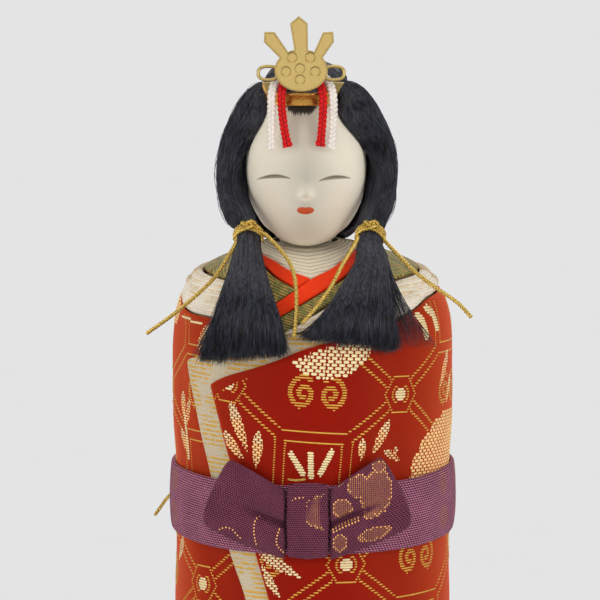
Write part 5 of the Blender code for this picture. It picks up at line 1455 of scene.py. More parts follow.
class DOLL_OT_cords(bpy.types.Operator):
    """Makes the gold hair cords, their windings, the sash cord and the crown's braids"""

    bl_idname = "doll.cords"
    bl_label = "Cords and braids"

    def execute(self, context):
        sizes = context.scene.doll_sizes
        gold = metallic_cord(context.scene.doll_colours)
        width = sizes.cord / MM
        for name, route in GOLD_ROUTES.items():
            sign = -1 if name.startswith("left") else 1
            if name.endswith("outer"):
                centre, down, right, outward = tie_frame(sign)
                route = (centre + right * sign * (TIE_WIDE + 0.3) + down * 0.4 + outward * 0.8, *route)
            points = smooth_route(route, 1.0)
            fine = smooth_route(route, 0.16)
            item = rope("gold_cord_" + name + "_twist", "head", gold, fine, 12,
                        twisted(width * 0.67, TWIST, depth=0.38))
            stands_for("gold_cord_" + name, "gold_thread")
            declare_cord(points, route[0], width)
        for side, sign in SIDES:
            centre, down, right, outward = tie_frame(sign)
            wide, deep = TIE_WIDE + width / 2, TIE_RADIUS + width / 2
            lines = {}
            for steps in (24, 60):
                line = []
                for i in range(round(WINDING_TURNS * steps) + 1):
                    turn = i / steps
                    angle = math.tau * turn
                    arch = 1.2 * max(0.0, math.sin(angle)) ** 1.6
                    middle = centre + down * ((turn - WINDING_TURNS / 2) * 0.86 - arch + 0.4)
                    line.append(middle + right * math.cos(angle) * wide + outward * math.sin(angle) * deep)
                lines[steps] = line
            self.hitch(side, centre + outward * (deep + 0.5) - down * 1.0, right, outward, gold, width)
            item = rope("tie_winding_" + side + "_twist", "head", gold, lines[60], 12,
                        twisted(width * 0.54, TWIST, depth=0.3), side=outward)
            stands_for("tie_winding_" + side, "gold_thread")
            declare_cord(lines[24], lines[24][0], width)
        item = rope("obi_cord_twist", "body", gold, smooth_route(SASH_CORD, 0.18), 12,
                    twisted(0.5, 1.8, plies=3, depth=0.25), side=Vector((0, 0, 1)))
        stands_for("obi_cord", "gold_thread")
        declare_cord(smooth_route(SASH_CORD, 2.0), SASH_CORD[0], 1.0)
        # The last number of each braid is the share of its colour kept in the painted shade of its grooves.
        for name, finish in (
            ("red", braid_silk("red_braid", context.scene.doll_colours.braid_red, 0.22)),
            ("white", braid_silk("white_braid", context.scene.doll_colours.braid_white, 0.72)),
        ):
            self.braid(name, finish, sizes.braid / MM / 2)
        return {"FINISHED"}

    def hitch(self, side, centre, right, outward, finish, width):
        """Small knot at the front of a hair tie, where the cord's two legs cross."""
        up = outward.cross(right)
        points = []
        for step in range(121):
            turn = math.tau * step / 121
            flat = right * (math.sin(turn) + 2 * math.sin(2 * turn)) * 0.62
            tall = up * (math.cos(turn) - 2 * math.cos(2 * turn)) * 0.40
            points.append(centre + flat + tall - outward * math.sin(3 * turn) * 0.45)
        rope("tie_hitch_" + side, "head", finish, points, 12, twisted(width * 0.58, TWIST, depth=0.3))

    def braid(self, name, finish, radius):
        """Flat braid whose stitches slant up from its middle to both edges."""
        fine = smooth_route(BRAID_ROUTES[name], 0.16)
        total = distances(fine)[-1]

        def radius_at(turn, along, share):
            across = math.cos(turn)
            phase = along / STITCH + abs(across) * 0.55 + (0.5 if across > 0 else 0.0)
            stitch = abs(math.sin(math.pi * phase)) ** 0.7
            groove = 1 - 0.24 * math.exp(-(across / 0.16) ** 2)
            flare = 1 + 0.22 * (smooth(2.2, 0.2, along) + smooth(total - 2.2, total - 0.2, along))
            return radius * (0.78 + 0.28 * stitch) * groove * flare

        item = rope(name + "_braid", "crown", finish, fine, 32, radius_at, flat=0.92)
        stands_for(name + "_cord", name + "_braid")
        route = BRAID_ROUTES[name]
        declare_cord(smooth_route(route, 2.0), route[0], radius * 2)


class DOLL_OT_robes(bpy.types.Operator):
    """Makes the brocade robes, their overlap and the pale lining, with the woven figures"""

    bl_idname = "doll.robes"
    bl_label = "Robes"

    def execute(self, context):
        c = context.scene.doll_colours
        pitch = context.scene.doll_sizes.weft / MM
        silk = silk_ground(c)
        lining = pale_cloth(c, "pale_lining", c.pale)
        wefts = (weft_thread("gold_weft", c.gold, 0.38, 0.25), weft_thread("cream_weft", c.cream, 0.5),
                 weft_thread("peach_weft", c.peach, 0.5))
        thick = {GOLD: 0.40, CREAM: 0.58, PEACH: 0.58}
        thicker = {CREAM: 0.78, PEACH: 0.78}
        seam = math.degrees(0.3 / CHEST)
        for half, low_z, patterns in (
            ("lower", HEM, (LOWER_UNDER, LOWER)), ("upper", SASH_Z + 0.15, (UNDER, UPPER)),
        ):
            upper = half == "upper"

            def flat(angle, low_z=low_z):
                return low_z

            def top(table, upper=upper):
                if upper:
                    return lambda angle: edge_height(table, angle)
                return lambda angle: SASH_Z - 0.15

            rows = 46 if upper else 56
            under = cloth(half + "_under_robe_silk", silk, 76, rows, (-180 + seam, 11), flat,
                          top(UNDER_TOP), under_depth, 0.8)
            stands_for(half + "_under_robe", "red_brocade")
            middle = mix(low_z, top(LINING_TOP)(SPLIT), 0.5)
            strip = cloth(half + "_lining_cloth", lining, 24, rows, (lining_edge(middle), 11), flat,
                          top(LINING_TOP), lining_depth, 0.6, edge=lining_edge)
            stands_for(half + "_lining", "white_gold_cloth")
            middle = mix(low_z, top(PANEL_TOP)(SPLIT), 0.5)
            panel = cloth(half + "_front_panel_silk", silk, 90, rows, (panel_edge(middle), 180 - seam),
                          flat, top(PANEL_TOP), panel_depth, 1.0, edge=panel_edge)
            stands_for(half + "_front_panel", "red_brocade")
            for item, width, tall in (
                (under, 132, 68 if upper else 90), (strip, 26 if upper else 22, 60 if upper else 90),
                (panel, 146, 60 if upper else 90),
            ):
                width * MM
                tall * MM

            def top_array(table, angles, upper=upper):
                if not upper:
                    return np.full(angles.shape, SASH_Z - 1.0)
                steps = np.arange(-181, 182, 1.0)
                heights = [edge_height(table, step) for step in steps]
                return np.interp(angles, steps, heights)

            def edge_array(rule, heights):
                steps = np.arange(0, 160, 1.0)
                return np.interp(heights, steps, [rule(step) for step in steps])

            def in_panel(u, z):
                angle = np.degrees(u / CHEST)
                return ((z > low_z + 0.5) & (z < top_array(PANEL_TOP, angle) - 0.8)
                        & (angle > edge_array(panel_edge, z) + 1.2) & (angle < 179.4))

            def in_under(u, z):
                angle = np.degrees(u / CHEST)
                bare = (angle < edge_array(lining_edge, z) + 2.0) | (z > top_array(LINING_TOP, angle) + 0.6)
                return (z > low_z + 0.5) & (z < top_array(UNDER_TOP, angle) - 0.8) & bare & (angle > -179.4)

            for name, pattern, span, inside, surface in (
                ("_panel_weft", patterns[1], (arc(-46), arc(180)), in_panel, panel_depth),
                ("_under_weft", patterns[0], (arc(-180), arc(0)), in_under, under_depth),
            ):
                heights = (low_z, 150 if upper else 89)
                runs = weft_floats(pattern, span, heights, inside, pitch, False)
                float_piece(half + name, wefts, pattern, runs, surface, thick)
                runs = weft_floats(pattern, span, heights, inside, pitch * 1.28, True)
                float_piece(half + name + "_blossoms", wefts, pattern, runs, surface, thicker)
        return {"FINISHED"}


class DOLL_OT_collars(bpy.types.Operator):
    """Makes the ribbed, scarlet and moss collars that cross at the throat"""

    bl_idname = "doll.collars"
    bl_label = "Collars"

    def execute(self, context):
        c = context.scene.doll_colours
        ribbed, scarlet, moss = ribbed_cloth(c), crepe(c), moss_cloth(c)

        def rib(angle, height):
            seen = edge_height(WHITE_EDGE, abs(angle)) + GAP
            share = (COLLAR_TOP - height) / max(COLLAR_TOP - seen, 0.1)
            return mix(COLLAR_TOP - height, share * 6.6, 0.45), seen - height

        def rib_depth(angle, height):
            along, hidden = rib(angle, height)
            under = smooth(-0.1, 0.5, hidden)
            return mix(0.02 + 0.26 * abs(math.sin(math.pi * along / RIB)) ** 0.8, -0.9, under)

        def place(u, v):
            angle = mix(-180, 180, u)
            height = mix(edge_height(WHITE_EDGE, abs(angle)) - 0.9, COLLAR_TOP, v)
            mark = (arc(angle) * 0.6, rib(angle, height)[0])
            return on_trunk(angle, height, rib_depth(angle, height)), mark

        collar = piece("neck_collar_ribs", shaped(150, 76, place, closed=True), "body", ribbed)
        modifier(collar, "cloth thickness", "SOLIDIFY", thickness=0.9 * MM, offset=-1.0)
        stands_for("neck_collar", "ribbed_white_cloth")

        def over_right(angle):
            return edge_height(WHITE_EDGE, angle) + GAP

        def red_left_low(angle):
            own = edge_height(RED_EDGE, -angle)
            return own if angle <= SPLIT else max(own, over_right(angle))

        def green_left_low(angle):
            own = edge_height(GREEN_EDGE, -angle) + GAP
            return own if angle <= SPLIT else over_right(angle)

        def green_right_low(angle):
            own = edge_height(GREEN_EDGE, angle)
            return (max(own, edge_height(LINING_TOP, angle) + GAP) if angle < 0 else own) + GAP

        def band(name, finish, span, low, high, depth, slot):
            def kept_low(angle):
                return min(low(angle), high(angle) - 0.25)
            item = cloth(name + "_cloth", finish, 96, 8, span, kept_low, high,
                         lambda a, h: depth + crumple(a * 1.5, h, 0.12), 1.2)
            stands_for(name, slot)

        band("red_collar_left", scarlet, (-179.6, -0.3), red_left_low,
             lambda a: edge_height(WHITE_EDGE, -a), 0.0, "scarlet_cloth")
        band("green_collar_left", moss, (-179.6, -1.0), green_left_low,
             lambda a: edge_height(RED_EDGE, -a) - GAP, 0.0, "green_gold_cloth")
        band("red_collar_right", scarlet, (-22, 179.6), lambda a: edge_height(RED_EDGE, a),
             lambda a: edge_height(WHITE_EDGE, a), 0.3, "scarlet_cloth")
        band("green_collar_right", moss, (-22, 179.6), green_right_low,
             lambda a: edge_height(RED_EDGE, a) - GAP, 0.3, "green_gold_cloth")
        return {"FINISHED"}


class DOLL_OT_rolls(bpy.types.Operator):
    """Makes the padded rolls of pale cloth over the shoulders and round the back"""

    bl_idname = "doll.rolls"
    bl_label = "Shoulder rolls"

    def execute(self, context):
        c = context.scene.doll_colours
        pale = pale_cloth(c, "pale_roll", tint(236, 226, 208), 0.4)
        tan = pale_cloth(c, "tan_roll", tint(206, 186, 156), 0.7)

        def left_low(angle):
            return max(edge_height(UNDER_TOP, angle), edge_height(LINING_TOP, angle)) + 0.3

        def right_low(angle):
            panel = edge_height(PANEL_TOP, angle)
            lining = edge_height(LINING_TOP, angle)
            return (max(panel, lining) if angle <= 14 else panel) + GAP

        def back(table, shift=0.0):
            return lambda angle: edge_height(table, min(angle, 360 - angle)) + shift

        rows = (
            ("shoulder_roll_left", pale, (-ROLL_END, SPLIT - 0.5), left_low,
             lambda a: edge_height(GREEN_EDGE, -a), 0.6, 60, "white_gold_cloth"),
            ("shoulder_roll_right", pale, (SPLIT + 1.0, ROLL_END), right_low,
             lambda a: edge_height(GREEN_EDGE, a), 0.6, 90, "white_gold_cloth"),
            ("back_roll", tan, (ROLL_END + 1, 359 - ROLL_END), back(PANEL_TOP, GAP), back(GREEN_EDGE),
             0.9, 120, "tan_cloth"),
        )
        for name, finish, span, low, high, lift, columns, slot in rows:
            def kept_low(angle, low=low, high=high):
                return min(low(angle), high(angle) - 0.4)

            def depth(angle, height, low=kept_low, high=high, lift=lift):
                share = clamp((height - low(angle)) / (high(angle) - low(angle)))
                wide = smooth(2.0, 8.0, high(angle) - low(angle))
                folds = abs(math.sin(math.pi * 2 * share)) ** 0.6
                one = math.sin(math.pi * share) ** 0.6
                spot = Vector((arc(angle) * 0.13, height * 0.25, 1.7))
                ruck = 0.22 * noise.noise(spot)
                return -0.9 + (lift + 0.9) * mix(one, 0.25 + 0.95 * folds, wide) + ruck * one

            item = cloth(name + "_padding", finish, columns, 26, span, kept_low, high, depth, 1.2)
            stands_for(name, slot)
        return {"FINISHED"}


class DOLL_OT_sash(bpy.types.Operator):
    """Makes the tweed sash and its bow, with the copper leaves and the gold stitch"""

    bl_idname = "doll.sash"
    bl_label = "Sash and bow"

    def execute(self, context):
        c = context.scene.doll_colours
        # Painted light and shade: the sash and the bow are one tweed, given lighter floats on the sash and
        # darker ones on the bow.
        obi = tweed("sash_tweed", shade(c.purple, 0.22), tint(190, 118, 146))
        bow = tweed("bow_tweed", shade(c.purple, 0.22), tint(130, 68, 90), 0.62, 0.5)
        bottom = SASH_Z - SASH_TALL / 2

        def depth(angle, height):
            share = clamp((height - bottom) / SASH_TALL)
            pull = noise.noise(Vector((arc(angle) * 0.09, height * 0.12, 5.5)))
            edge = 0.30 * (abs(2 * share - 1) ** 6)
            return sash_depth(angle) + 1.1 + 0.35 * math.sin(math.pi * share) + 0.25 * pull - edge

        sash = cloth("obi_tweed", obi, 120, 18, (-180, 180), lambda a: bottom,
                     lambda a: bottom + SASH_TALL, depth, 1.1, seam=True)
        stands_for("obi", "purple_cloth")
        for side, sign in SIDES:
            self.loop(side, sign, bow)
        self.knot(bow)
        self.leaves(c)
        self.stitch(c)
        return {"FINISHED"}

    def loop(self, side, sign, finish):
        """Half of the bow: a puffed fold of tweed, creased where it leaves the knot."""
        rows = 40

        def place(u, v):
            turn = v * 2
            share = round(u * rows) / rows
            if turn <= 1:
                spot, _ = bow_front(sign, share, turn)
                mark = (sign * share * 20, turn * 20)
            else:
                spot, back = bow_front(sign, share, 2 - turn)
                spot = Vector((spot.x, back, spot.z))
                mark = (sign * share * 20, 42 - turn * 20)
            if share in (0.0, 1.0):
                middle, back = bow_front(sign, share, min(turn, 2 - turn))
                inset = sign * 0.3 if share else 0.0
                spot = Vector((middle.x - inset, mix(back, middle.y, 0.45), middle.z))
            return spot, mark

        shape = shaped(rows, 72, place, closed=True)
        item = piece("bow_loop_" + side + "_tweed", shape, "body", finish)
        soften(item, "soft fold")
        stands_for("bow_loop_" + side, "purple_cloth")

    def knot(self, finish):
        def place(u, v):
            middle = 1 - abs(2 * v - 1)
            z = mix(KNOT_LOW, KNOT_LOW + KNOT_TALL, v)
            half = KNOT_HALF * mix(0.94, 1.0, middle)
            swell = KNOT_DEEP * (1 - 0.45 * (1 - middle) ** 5)
            turn = u * math.tau
            square = 0.35
            x = BOW_X + half * math.copysign(abs(math.sin(turn)) ** square, math.sin(turn))
            front = math.copysign(abs(math.cos(turn)) ** square, math.cos(turn))
            ruck = 0.2 * noise.noise(Vector((x * 0.35, z * 0.16, 2.2)))
            y = bow_back(0) - swell * (0.5 + 0.5 * front) - ruck * max(front, 0)
            if v in (0.0, 1.0):
                x, y = BOW_X, bow_back(0) - 1.6
            return Vector((x, y, z)), (x, z)

        item = piece("bow_knot_tweed", shaped(64, 30, place, closed=True), "body", finish)
        stands_for("bow_knot", "purple_cloth")

    def leaves(self, c):
        """Copper leaves woven in upright lines, with a gold stitch at each place of their edges."""
        shapes = (
            (1, (16.6, 96.4), 4.3, 6.3, -0.15), (1, (12.2, 98.4), 3.3, 3.2, 0.0),
            (1, (14.9, 91.5), 1.9, 1.9, 0.0), (1, (7.7, 92.8), 2.7, 2.7, 0.0),
            (1, (17.3, 103.4), 2.3, 1.6, -0.6), (1, (7.1, 83.6), 2.0, 2.5, 0.0),
            (1, (16.2, 85.6), 4.7, 1.9, 0.25), (0, (3.6, 92.0), 6.4, 4.8, 0.0),
        )
        lines = (
            (-1, ((-24.6, 85.9), (-23.0, 86.7), (-21.2, 86.3), (-20.2, 85.2), (-19.1, 84.2))),
            (-1, ((-13.1, 90.5), (-14.9, 89.7), (-15.5, 87.3), (-15.3, 84.7), (-14.9, 82.9))),
            (-1, ((-8.8, 87.3), (-9.4, 85.5), (-9.5, 83.2), (-7.8, 81.1))),
            (1, ((5.2, 87.3), (8.4, 88.9), (11.8, 90.2))), (1, ((5.4, 86.6), (8.6, 88.2), (11.9, 89.5))),
            (1, ((6.8, 98.6), (7.9, 99.4))), (0, ((-6.0, 94.3), (-5.0, 95.5), (-2.6, 95.9))),
        )

        def away(x, z, leaf):
            _, (cx, cz), wide, tall, turn = leaf
            dx = (x - cx) * math.cos(turn) + (z - cz) * math.sin(turn)
            dz = (z - cz) * math.cos(turn) - (x - cx) * math.sin(turn)
            return (math.hypot(dx / wide, dz / tall) - 1) * min(wide, tall)

        spots = []
        for sign in (0, 1):
            own = [leaf for leaf in shapes if leaf[0] == sign]
            for row in range(60):
                for column in range(50):
                    x, z = -1.6 + column * 0.54, 78 + row * 0.52
                    reach = min(away(x, z, leaf) for leaf in own)
                    rim = reach > -0.6 and (row + column) % 2 == 0
                    if reach < 0 and (sign or x < 3.6):
                        spots.append((sign, x, z, rim))
        for sign, corners in lines:
            route = smooth_route([Vector((x, 0, z)) for x, z in corners], 0.9)
            spots += [(sign, point.x, point.z, True) for point in route]

        def place(index, column, line):
            sign, x, z, rim = spots[index]
            inner = column in (1, 2)
            x += (-0.17, -0.1, 0.1, 0.17)[column] * (1.2 if rim else 0.9)
            z += (line - 1) * ((0.24 if inner else 0.14) if rim else (0.26 if inner else 0.2))
            rise = (0.16 if rim else 0.07) if line == 1 and inner else -0.03
            point = self.on_bow(sign, x, z, rise)
            return point, (point.x, point.z)

        shape = threads(len(spots), place, lambda index: int(spots[index][3]))
        copper = weft_thread("copper_weft", shade(c.copper, 0.55), 0.4, 0.3)
        edging = weft_thread("copper_edge_weft", tint(240, 178, 104), 0.3, 0.4)
        piece("bow_copper_leaves", shape, "body", copper, edging)

    def on_bow(self, sign, x, z, rise):
        """Point on the front of the bow above a place, found by trial on its loops."""
        if sign == 0:
            middle = 1 - abs(2 * (z - KNOT_LOW) / KNOT_TALL - 1)
            swell = KNOT_DEEP * (1 - 0.45 * (1 - clamp(middle)) ** 5)
            edge = min(abs(x - BOW_X) / KNOT_HALF, 1.0) ** 6
            return Vector((x, bow_back(0) - swell * (1 - 0.35 * edge) - rise, z))
        u, v = 0.5, 0.5
        for _ in range(8):
            spot, _ = bow_front(sign, u, v)
            u = clamp(u + sign * (x - spot.x) / 20.0, 0.01, 0.97)
            v = clamp(v + (z - spot.z) / 20.0, 0.03, 0.97)
        spot, _ = bow_front(sign, u, v)
        return Vector((spot.x, spot.y - rise, spot.z))

    def stitch(self, c):
        """Gold thread over the top of the knot."""
        points = []
        for step in range(15):
            share = step / 14
            x = BOW_X - KNOT_HALF * 0.94 + share * 4.6
            z = 99.9 + 0.3 * (2 - math.sin(math.pi * share))
            points.append(Vector((x, bow_back(0) - 1.7, z)))
        item = rope("bow_thread_twist", "body", metallic_cord(c), points, 10,
                    twisted(0.31, 1.2, depth=0.15))
        stands_for("bow_thread", "gold_thread")


class DOLL_OT_head(bpy.types.Operator):
    """Makes the shell-white head with its painted face"""

    bl_idname = "doll.head"
    bl_label = "Head"

    def execute(self, context):
        def place(u, v):
            turn = (u - 0.5) * 360
            place_up = v ** 0.9
            return head_point(turn, place_up), (turn * 0.3, v * 60)

        item = piece("head_shell", shaped(180, 150, place, closed=True), "head",
                     painted_face(context.scene.doll_colours))
        stands_for("head", "shell_white")
        return {"FINISHED"}


class DOLL_OT_hair(bpy.types.Operator):
    """Makes the hair over the skull and the two swept sides, with combed hairs on them"""

    bl_idname = "doll.hair"
    bl_label = "Hair"

    def execute(self, context):
        c = context.scene.doll_colours
        count = context.scene.doll_sizes.combed
        combed, loose = combed_hair(c), single_hair(c)
        self.back(combed, loose, count)
        for side, sign in SIDES:
            self.sweep(side, sign, combed, loose, count)
        return {"FINISHED"}

    def back_point(self, u, v, lift=0.0):
        """Point on the hair over the skull: u round from one side to the other, v up."""
        place = v * (len(HAIR_BACK) - 1)
        share, start, thick = (
            table_at([(k, row[i]) for k, row in enumerate(HAIR_BACK)], place) for i in range(3))
        turn = mix(start, 360 - start, u)
        forehead = 1 - smooth(22, 62, min(turn, 360 - turn))
        dip = 0.035 * forehead * min(1.0, (1 - share) / 0.068)
        rim = 1 - 0.55 * abs(2 * u - 1) ** 8 * smooth(0.93, 0.90, share)
        proud = HAIR_GAP + 4.6 * thick * rim * (1 - 0.5 * forehead)
        height = CHIN + (share - dip) * HEAD_TALL
        return on_head(turn, height, proud + lift), turn

    def back(self, combed, loose, count):
        def place(u, v):
            spot = Vector((math.cos(u * math.tau) * 9, math.sin(u * math.tau) * 9, v * 2.2))
            groove = 0.22 * noise.noise(spot) + 0.12 * noise.noise(spot * 3.1)
            point, turn = self.back_point(u, v, groove)
            return point, (math.radians(turn) * 20, v * 60)

        shape = shaped(150, 90, place)
        bmesh.ops.remove_doubles(shape, verts=shape.verts, dist=0.01 * MM)
        holes = [edge for edge in shape.edges if edge.is_boundary and edge.verts[0].co.z > 0.1995
                 and edge.verts[1].co.z > 0.1995]
        if holes:
            bmesh.ops.holes_fill(shape, edges=holes, sides=400)
        item = piece("hair_back_combed", shape, "head", combed)
        modifier(item, "hair thickness", "SOLIDIFY", thickness=1.2 * MM, offset=-1.0)
        stands_for("hair_back", "black_silk")
        rng = random.Random(11)
        paths, radii = [], []
        for _ in range(count):
            u = rng.random()
            top = rng.uniform(0.55, 1.0)
            low = max(0.0, top - rng.uniform(0.3, 0.8))
            drift = rng.uniform(-0.01, 0.01)
            rise = rng.uniform(0.02, 0.22)
            points = []
            for step in range(7):
                t = step / 6
                spot, _ = self.back_point(clamp(u + drift * t), mix(top, low, t),
                                          rise * math.sin(math.pi * min(t + 0.1, 1.0)))
                points.append(spot)
            paths.append(points)
            radii.append(rng.uniform(0.05, 0.085))
        hairs("hair_back_strands", loose, paths, radii)

    def sweep(self, side, sign, combed, loose, count):
        rows = sweep_rows(sign)
        steps = 72

        def on_sweep(angle, v, lift=0.0):
            return through(rows, v, angle, lift)

        def place(u, v):
            angle = u * math.tau
            spot = Vector((math.cos(angle) * 4, math.sin(angle) * 4, v * 3.0))
            groove = 0.34 * noise.noise(spot * 1.6) + 0.16 * noise.noise(spot * 5.0)
            groove *= math.sin(math.pi * clamp(v * 1.1)) ** 0.5
            if v in (0.0, 1.0):
                ends = [on_sweep(k * math.tau / 8, v) for k in range(8)]
                return sum(ends, Vector()) / 8, (u * 42, v * 46)
            shift = 1 / steps
            return on_sweep(angle, (v - shift) / (1 - 2 * shift), groove), (u * 42, v * 46)

        shape = shaped(140, steps, place, closed=True)
        item = piece("hair_sweep_" + side + "_combed", shape, "head", combed)
        stands_for("hair_sweep_" + side, "black_silk")
        rng = random.Random(5 if sign < 0 else 6)
        paths, radii = [], []
        for index in range(count):
            angle = rng.uniform(0.0, math.pi) if rng.random() < 0.85 else rng.uniform(0, math.tau)
            start = rng.uniform(0.0, 0.75)
            stop = min(1.0, start + rng.uniform(0.2, 0.5))
            wander = rng.uniform(-0.08, 0.08)
            rise = rng.uniform(0.05, 0.3) if index % 40 else rng.uniform(0.5, 1.1)
            paths.append([on_sweep(angle + wander * t, mix(start, stop, t),
                                   rise * math.sin(math.pi * t) + 0.02) for t in HAIR_STEPS])
            radii.append(rng.uniform(0.05, 0.09))
        hairs("hair_sweep_" + side + "_strands", loose, paths, radii)


class DOLL_OT_tassels(bpy.types.Operator):
    """Makes the two hair tassels, each a dark core under loose hairs with frayed ends"""

    bl_idname = "doll.tassels"
    bl_label = "Tassels"

    def execute(self, context):
        c = context.scene.doll_colours
        combed, loose = combed_hair(c), single_hair(c)
        for side, sign in SIDES:
            self.tassel(side, sign, combed, loose, context.scene.doll_sizes.strands)
        return {"FINISHED"}

    def tassel(self, side, sign, combed, loose, count):
        rows = tassel_rows(side, sign)

        def core(u, v):
            angle = u * math.tau
            reach = 0.80 if 0.0 < v < 1.0 else 0.0
            place = min(v, 0.93)
            return through(rows, place, math.cos(angle) * reach, math.sin(angle) * reach), (u * 60, v * 38)

        item = piece("tassel_" + side + "_core", shaped(64, 40, core, closed=True), "head", combed)
        stands_for("tassel_" + side, "black_silk")
        rng = random.Random(21 if sign < 0 else 22)
        paths, radii = [], []
        clumps = [(rng.gauss(0, 0.10), rng.gauss(0, 0.5), rng.gauss(0, 0.35)) for _ in range(70)]
        for index in range(count):
            angle = rng.uniform(0, math.tau)
            reach = rng.uniform(0.70, 1.0) ** 0.6
            a, b = math.cos(angle) * reach, math.sin(angle) * reach
            clump = clumps[int(angle / math.tau * len(clumps))]
            fray = rng.gauss(clump[0] * 0.6, 0.06 if index % 9 else 0.16)
            spot = [lambda point=row(a + fray * (k / len(rows)) ** 2, b): point
                    for k, row in enumerate(rows)]
            end = rng.uniform(0.90, 1.0)
            bend = Vector((clump[1] + rng.gauss(0, 0.3), rng.gauss(0, 0.2), clump[2] + rng.gauss(0, 0.3)))
            wave = rng.uniform(0, math.tau)
            points = [through(spot, end * t)
                      + (bend * t * t + Vector((0.14 * math.sin(wave + 7 * t) * t, 0, 0)))
                      for t in HAIR_STEPS]
            tail = (points[-1] - points[-2]).normalized()
            points[-1] = points[-1] + tail * rng.uniform(-0.4, 1.6)
            paths.append(points)
            radii.append(rng.uniform(0.06, 0.10))
        if sign > 0:
            self.wisps(rows, rng, paths, radii)
        hairs("tassel_" + side + "_strands", loose, paths, radii)

    def wisps(self, rows, rng, paths, radii):
        """Thin hairs that stand off the outer side of the right-hand tassel."""
        for _ in range(150):
            a = rng.uniform(0.85, 1.85)
            b = rng.uniform(-0.6, 0.2)
            spot = [lambda point=row(mix(0.6, a, min(1, k / (len(rows) - 1) * 1.2)), b): point
                    for k, row in enumerate(rows)]
            end = rng.uniform(0.8, 1.0)
            paths.append([through(spot, end * step / 7) for step in range(8)])
            radii.append(rng.uniform(0.04, 0.06))


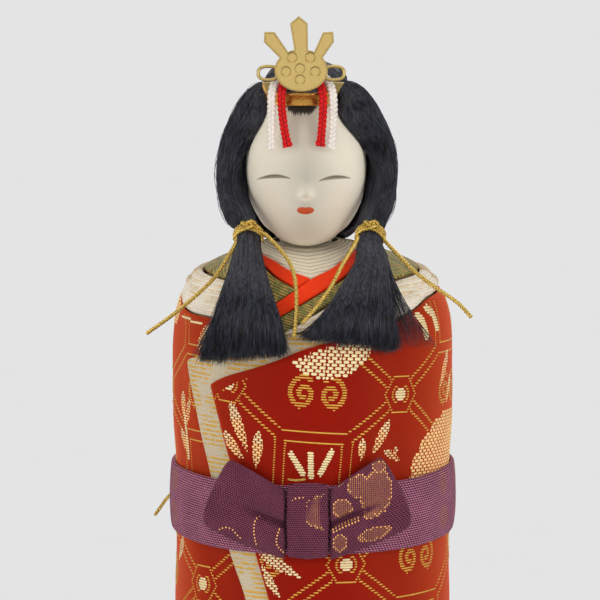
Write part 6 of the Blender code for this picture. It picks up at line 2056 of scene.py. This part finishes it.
class DOLL_OT_crown(bpy.types.Operator):
    """Makes the gilt crown: the dimpled plate with three rays, the cup and two loops"""

    bl_idname = "doll.crown"
    bl_label = "Crown"

    def execute(self, context):
        c = context.scene.doll_colours
        brushed = gilt_metal(c, "brushed_gilt", True)
        polished = gilt_metal(c, "polished_gilt", False)
        self.plate(brushed)
        self.cup(polished)
        for side, sign in SIDES:
            self.loop(side, sign, brushed)
            self.ear(side, sign, brushed)
        pin = rope("crown_pin_gilt", "crown", brushed,
                   [Vector((CROWN_X, -13.2 + 0.1 * step, CUP_TOP - 2.2 - step)) for step in range(10)], 16,
                   lambda turn, along, share: 0.55 - 0.35 * max(0.0, share - 0.7) / 0.3)
        stands_for("crown_pin", "gold_plate")
        return {"FINISHED"}

    def plate(self, finish):
        shape = bmesh.new()
        corners = [shape.verts.new(plate_point(x, y, 0.14 - PLATE_THICK / 2) * MM)
                   for x, y in plate_outline()]
        face = shape.faces.new(corners)
        grown = bmesh.ops.extrude_face_region(shape, geom=[face])
        back = [v for v in grown["geom"] if isinstance(v, bmesh.types.BMVert)]
        push = (plate_point(0, 0, 1) - plate_point(0, 0, 0)) * (PLATE_THICK - 0.14) * MM
        bmesh.ops.translate(shape, verts=back, vec=push)
        bmesh.ops.recalc_face_normals(shape, faces=shape.faces)
        broad = [face for face in shape.faces if len(face.verts) > 20]
        front = min(broad, key=lambda face: face.calc_center_median().y)
        for thick, rise in ((0.12, 0.14), (0.22, 0.02), (0.10, -0.16)):
            bmesh.ops.inset_region(shape, faces=[front], thickness=thick * MM, depth=rise * MM,
                                   use_even_offset=True)
        item = placed("crown_plate_gilt", mesh_of("crown_plate_gilt", shape, finish))
        punches = bmesh.new()
        for across, up in DIMPLES:
            centre = plate_point(across * DISC[0], up * DISC[1], 0.11 - PLATE_THICK / 2) * MM
            place = Matrix.Translation(centre) @ Matrix.Rotation(math.pi / 2 - TILT, 4, "X")
            bmesh.ops.create_cone(punches, cap_ends=True, segments=48, radius1=1.10 * MM, radius2=1.86 * MM,
                                  depth=0.62 * MM, matrix=place)
        cutter = placed("dimple_punches", mesh_of("dimple_punches", punches))
        modifier(item, "dimples", "BOOLEAN", object=cutter, solver="EXACT", use_self=True,
                 operation="DIFFERENCE")
        graph = bpy.context.evaluated_depsgraph_get()
        pressed = bpy.data.meshes.new_from_object(item.evaluated_get(graph))
        bpy.data.objects.remove(item)
        bpy.data.objects.remove(cutter)
        plate = placed("crown_plate_gilt", pressed)
        pressed.shade_smooth()
        pressed.set_sharp_from_angle(angle=math.radians(18))
        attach(plate, "crown")
        stands_for("crown_plate", "gold_plate")

    def cup(self, finish):
        def place(u, v):
            angle = mix(-96, 96, u)
            section = cup_section(angle)
            index = round(v * 12) % 12
            return section[index], (angle * 0.15, v * 12)

        shape = shaped(96, 12, place, closed=True)
        edges = [edge for edge in shape.edges if edge.is_boundary]
        bmesh.ops.holes_fill(shape, edges=edges, sides=20)
        bmesh.ops.recalc_face_normals(shape, faces=shape.faces)
        item = piece("crown_cup_gilt", shape, "crown", finish)
        roll_edges(item, 28)
        item.data.set_sharp_from_angle(angle=math.radians(50))
        stands_for("crown_cup", "gold_plate")

    def ear(self, side, sign, finish):
        """Flat end of the cup's wall, turned to the front and cut to a point."""
        def place(u, v):
            height = 197.2 + 4.7 * v
            reach = (9.2 if sign > 0 else 8.5) + (2.3 if sign > 0 else 1.9) * v ** 1.5
            x = CROWN_X + sign * mix(6.4, reach, u)
            return Vector((x, -14.9 + 0.5 * (1 - v), height)), (x, height)

        shape = shaped(16, 16, place)
        bmesh.ops.recalc_face_normals(shape, faces=shape.faces)
        item = piece("crown_ear_" + side, shape, "crown", finish)
        modifier(item, "sheet metal", "SOLIDIFY", thickness=0.5 * MM, offset=0.0)
        roll_edges(item, 40)

    def loop(self, side, sign, finish):
        behind = PLATE_THICK / 2 + GAP + 0.45
        centre = sign * (7.0 + 2.65 * 0.62)

        def place(u, v):
            turn = v * math.tau

            def spot(angle):
                cosine, sine = (math.copysign(abs(w) ** 0.8, w) for w in (math.cos(angle), math.sin(angle)))
                return plate_point(centre + 2.65 * cosine, 1.78 * sine - 0.6, behind)
            here = spot(turn)
            ahead = (spot(turn + 0.02) - spot(turn - 0.02)).normalized()
            out = (plate_point(0, 0, 1) - plate_point(0, 0, 0)).normalized()
            side_way = ahead.cross(out)
            around = u * math.tau
            return here + (out * math.sin(around) + side_way * math.cos(around)) * 0.45, (u * 3, v * 16)

        shape = shaped(16, 96, place, closed=True)
        item = piece("crown_loop_" + side + "_wire", shape, "crown", finish)
        stands_for("crown_loop_" + side, "gold_plate")


class DOLL_OT_inside(bpy.types.Operator):
    """Finishes the moulded core, the felt base and the bamboo peg"""

    bl_idname = "doll.inside"
    bl_label = "Core and base"

    def execute(self, context):
        finishes = {
            "body_core": plain_solid("moulded_paste", tint(186, 150, 112), tint(214, 184, 146),
                                     1.2, 0.8, 0.2),
            "base_pad": plain_solid("red_felt", tint(112, 22, 16), tint(158, 40, 28), 2.6, 0.9, 0.3),
            "neck_peg": plain_solid("split_bamboo", tint(196, 164, 108), tint(226, 200, 148),
                                    2.0, 0.55, 0.1, (1.0, 1.0, 0.08)),
        }
        for name, finish in finishes.items():
            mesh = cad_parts[name].data
            mesh.materials.clear()
            mesh.materials.append(finish)
        return {"FINISHED"}


class DOLL_PT_panel(bpy.types.Panel):
    """Lists the doll's pieces, with its sizes and colours"""

    bl_idname = "DOLL_PT_panel"
    bl_label = "Hina Doll"
    bl_space_type = "VIEW_3D"
    bl_region_type = "UI"
    bl_category = "Doll"

    def draw(self, context):
        layout = self.layout
        for group in (context.scene.doll_sizes, context.scene.doll_colours):
            box = layout.box()
            for key in group.__annotations__:
                box.prop(group, key)
        for operator in OPERATORS:
            layout.operator(operator.bl_idname)


OPERATORS = (
    DOLL_OT_camera, DOLL_OT_cords, DOLL_OT_robes, DOLL_OT_collars, DOLL_OT_rolls, DOLL_OT_sash,
    DOLL_OT_head, DOLL_OT_hair, DOLL_OT_tassels, DOLL_OT_crown, DOLL_OT_inside, DOLL_OT_stage,
)
CLASSES = (DollColours, DollSizes, *OPERATORS, DOLL_PT_panel)


def register():
    for item in CLASSES:
        bpy.utils.register_class(item)
    bpy.types.Scene.doll_colours = bpy.props.PointerProperty(type=DollColours)
    bpy.types.Scene.doll_sizes = bpy.props.PointerProperty(type=DollSizes)


def unregister():
    del bpy.types.Scene.doll_sizes
    del bpy.types.Scene.doll_colours
    for item in reversed(CLASSES):
        bpy.utils.unregister_class(item)


def main():
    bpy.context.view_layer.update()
    register()
    for operator in OPERATORS:
        group, name = operator.bl_idname.split(".")
        getattr(getattr(bpy.ops, group), name)()


if __name__ == "__main__":
    main()
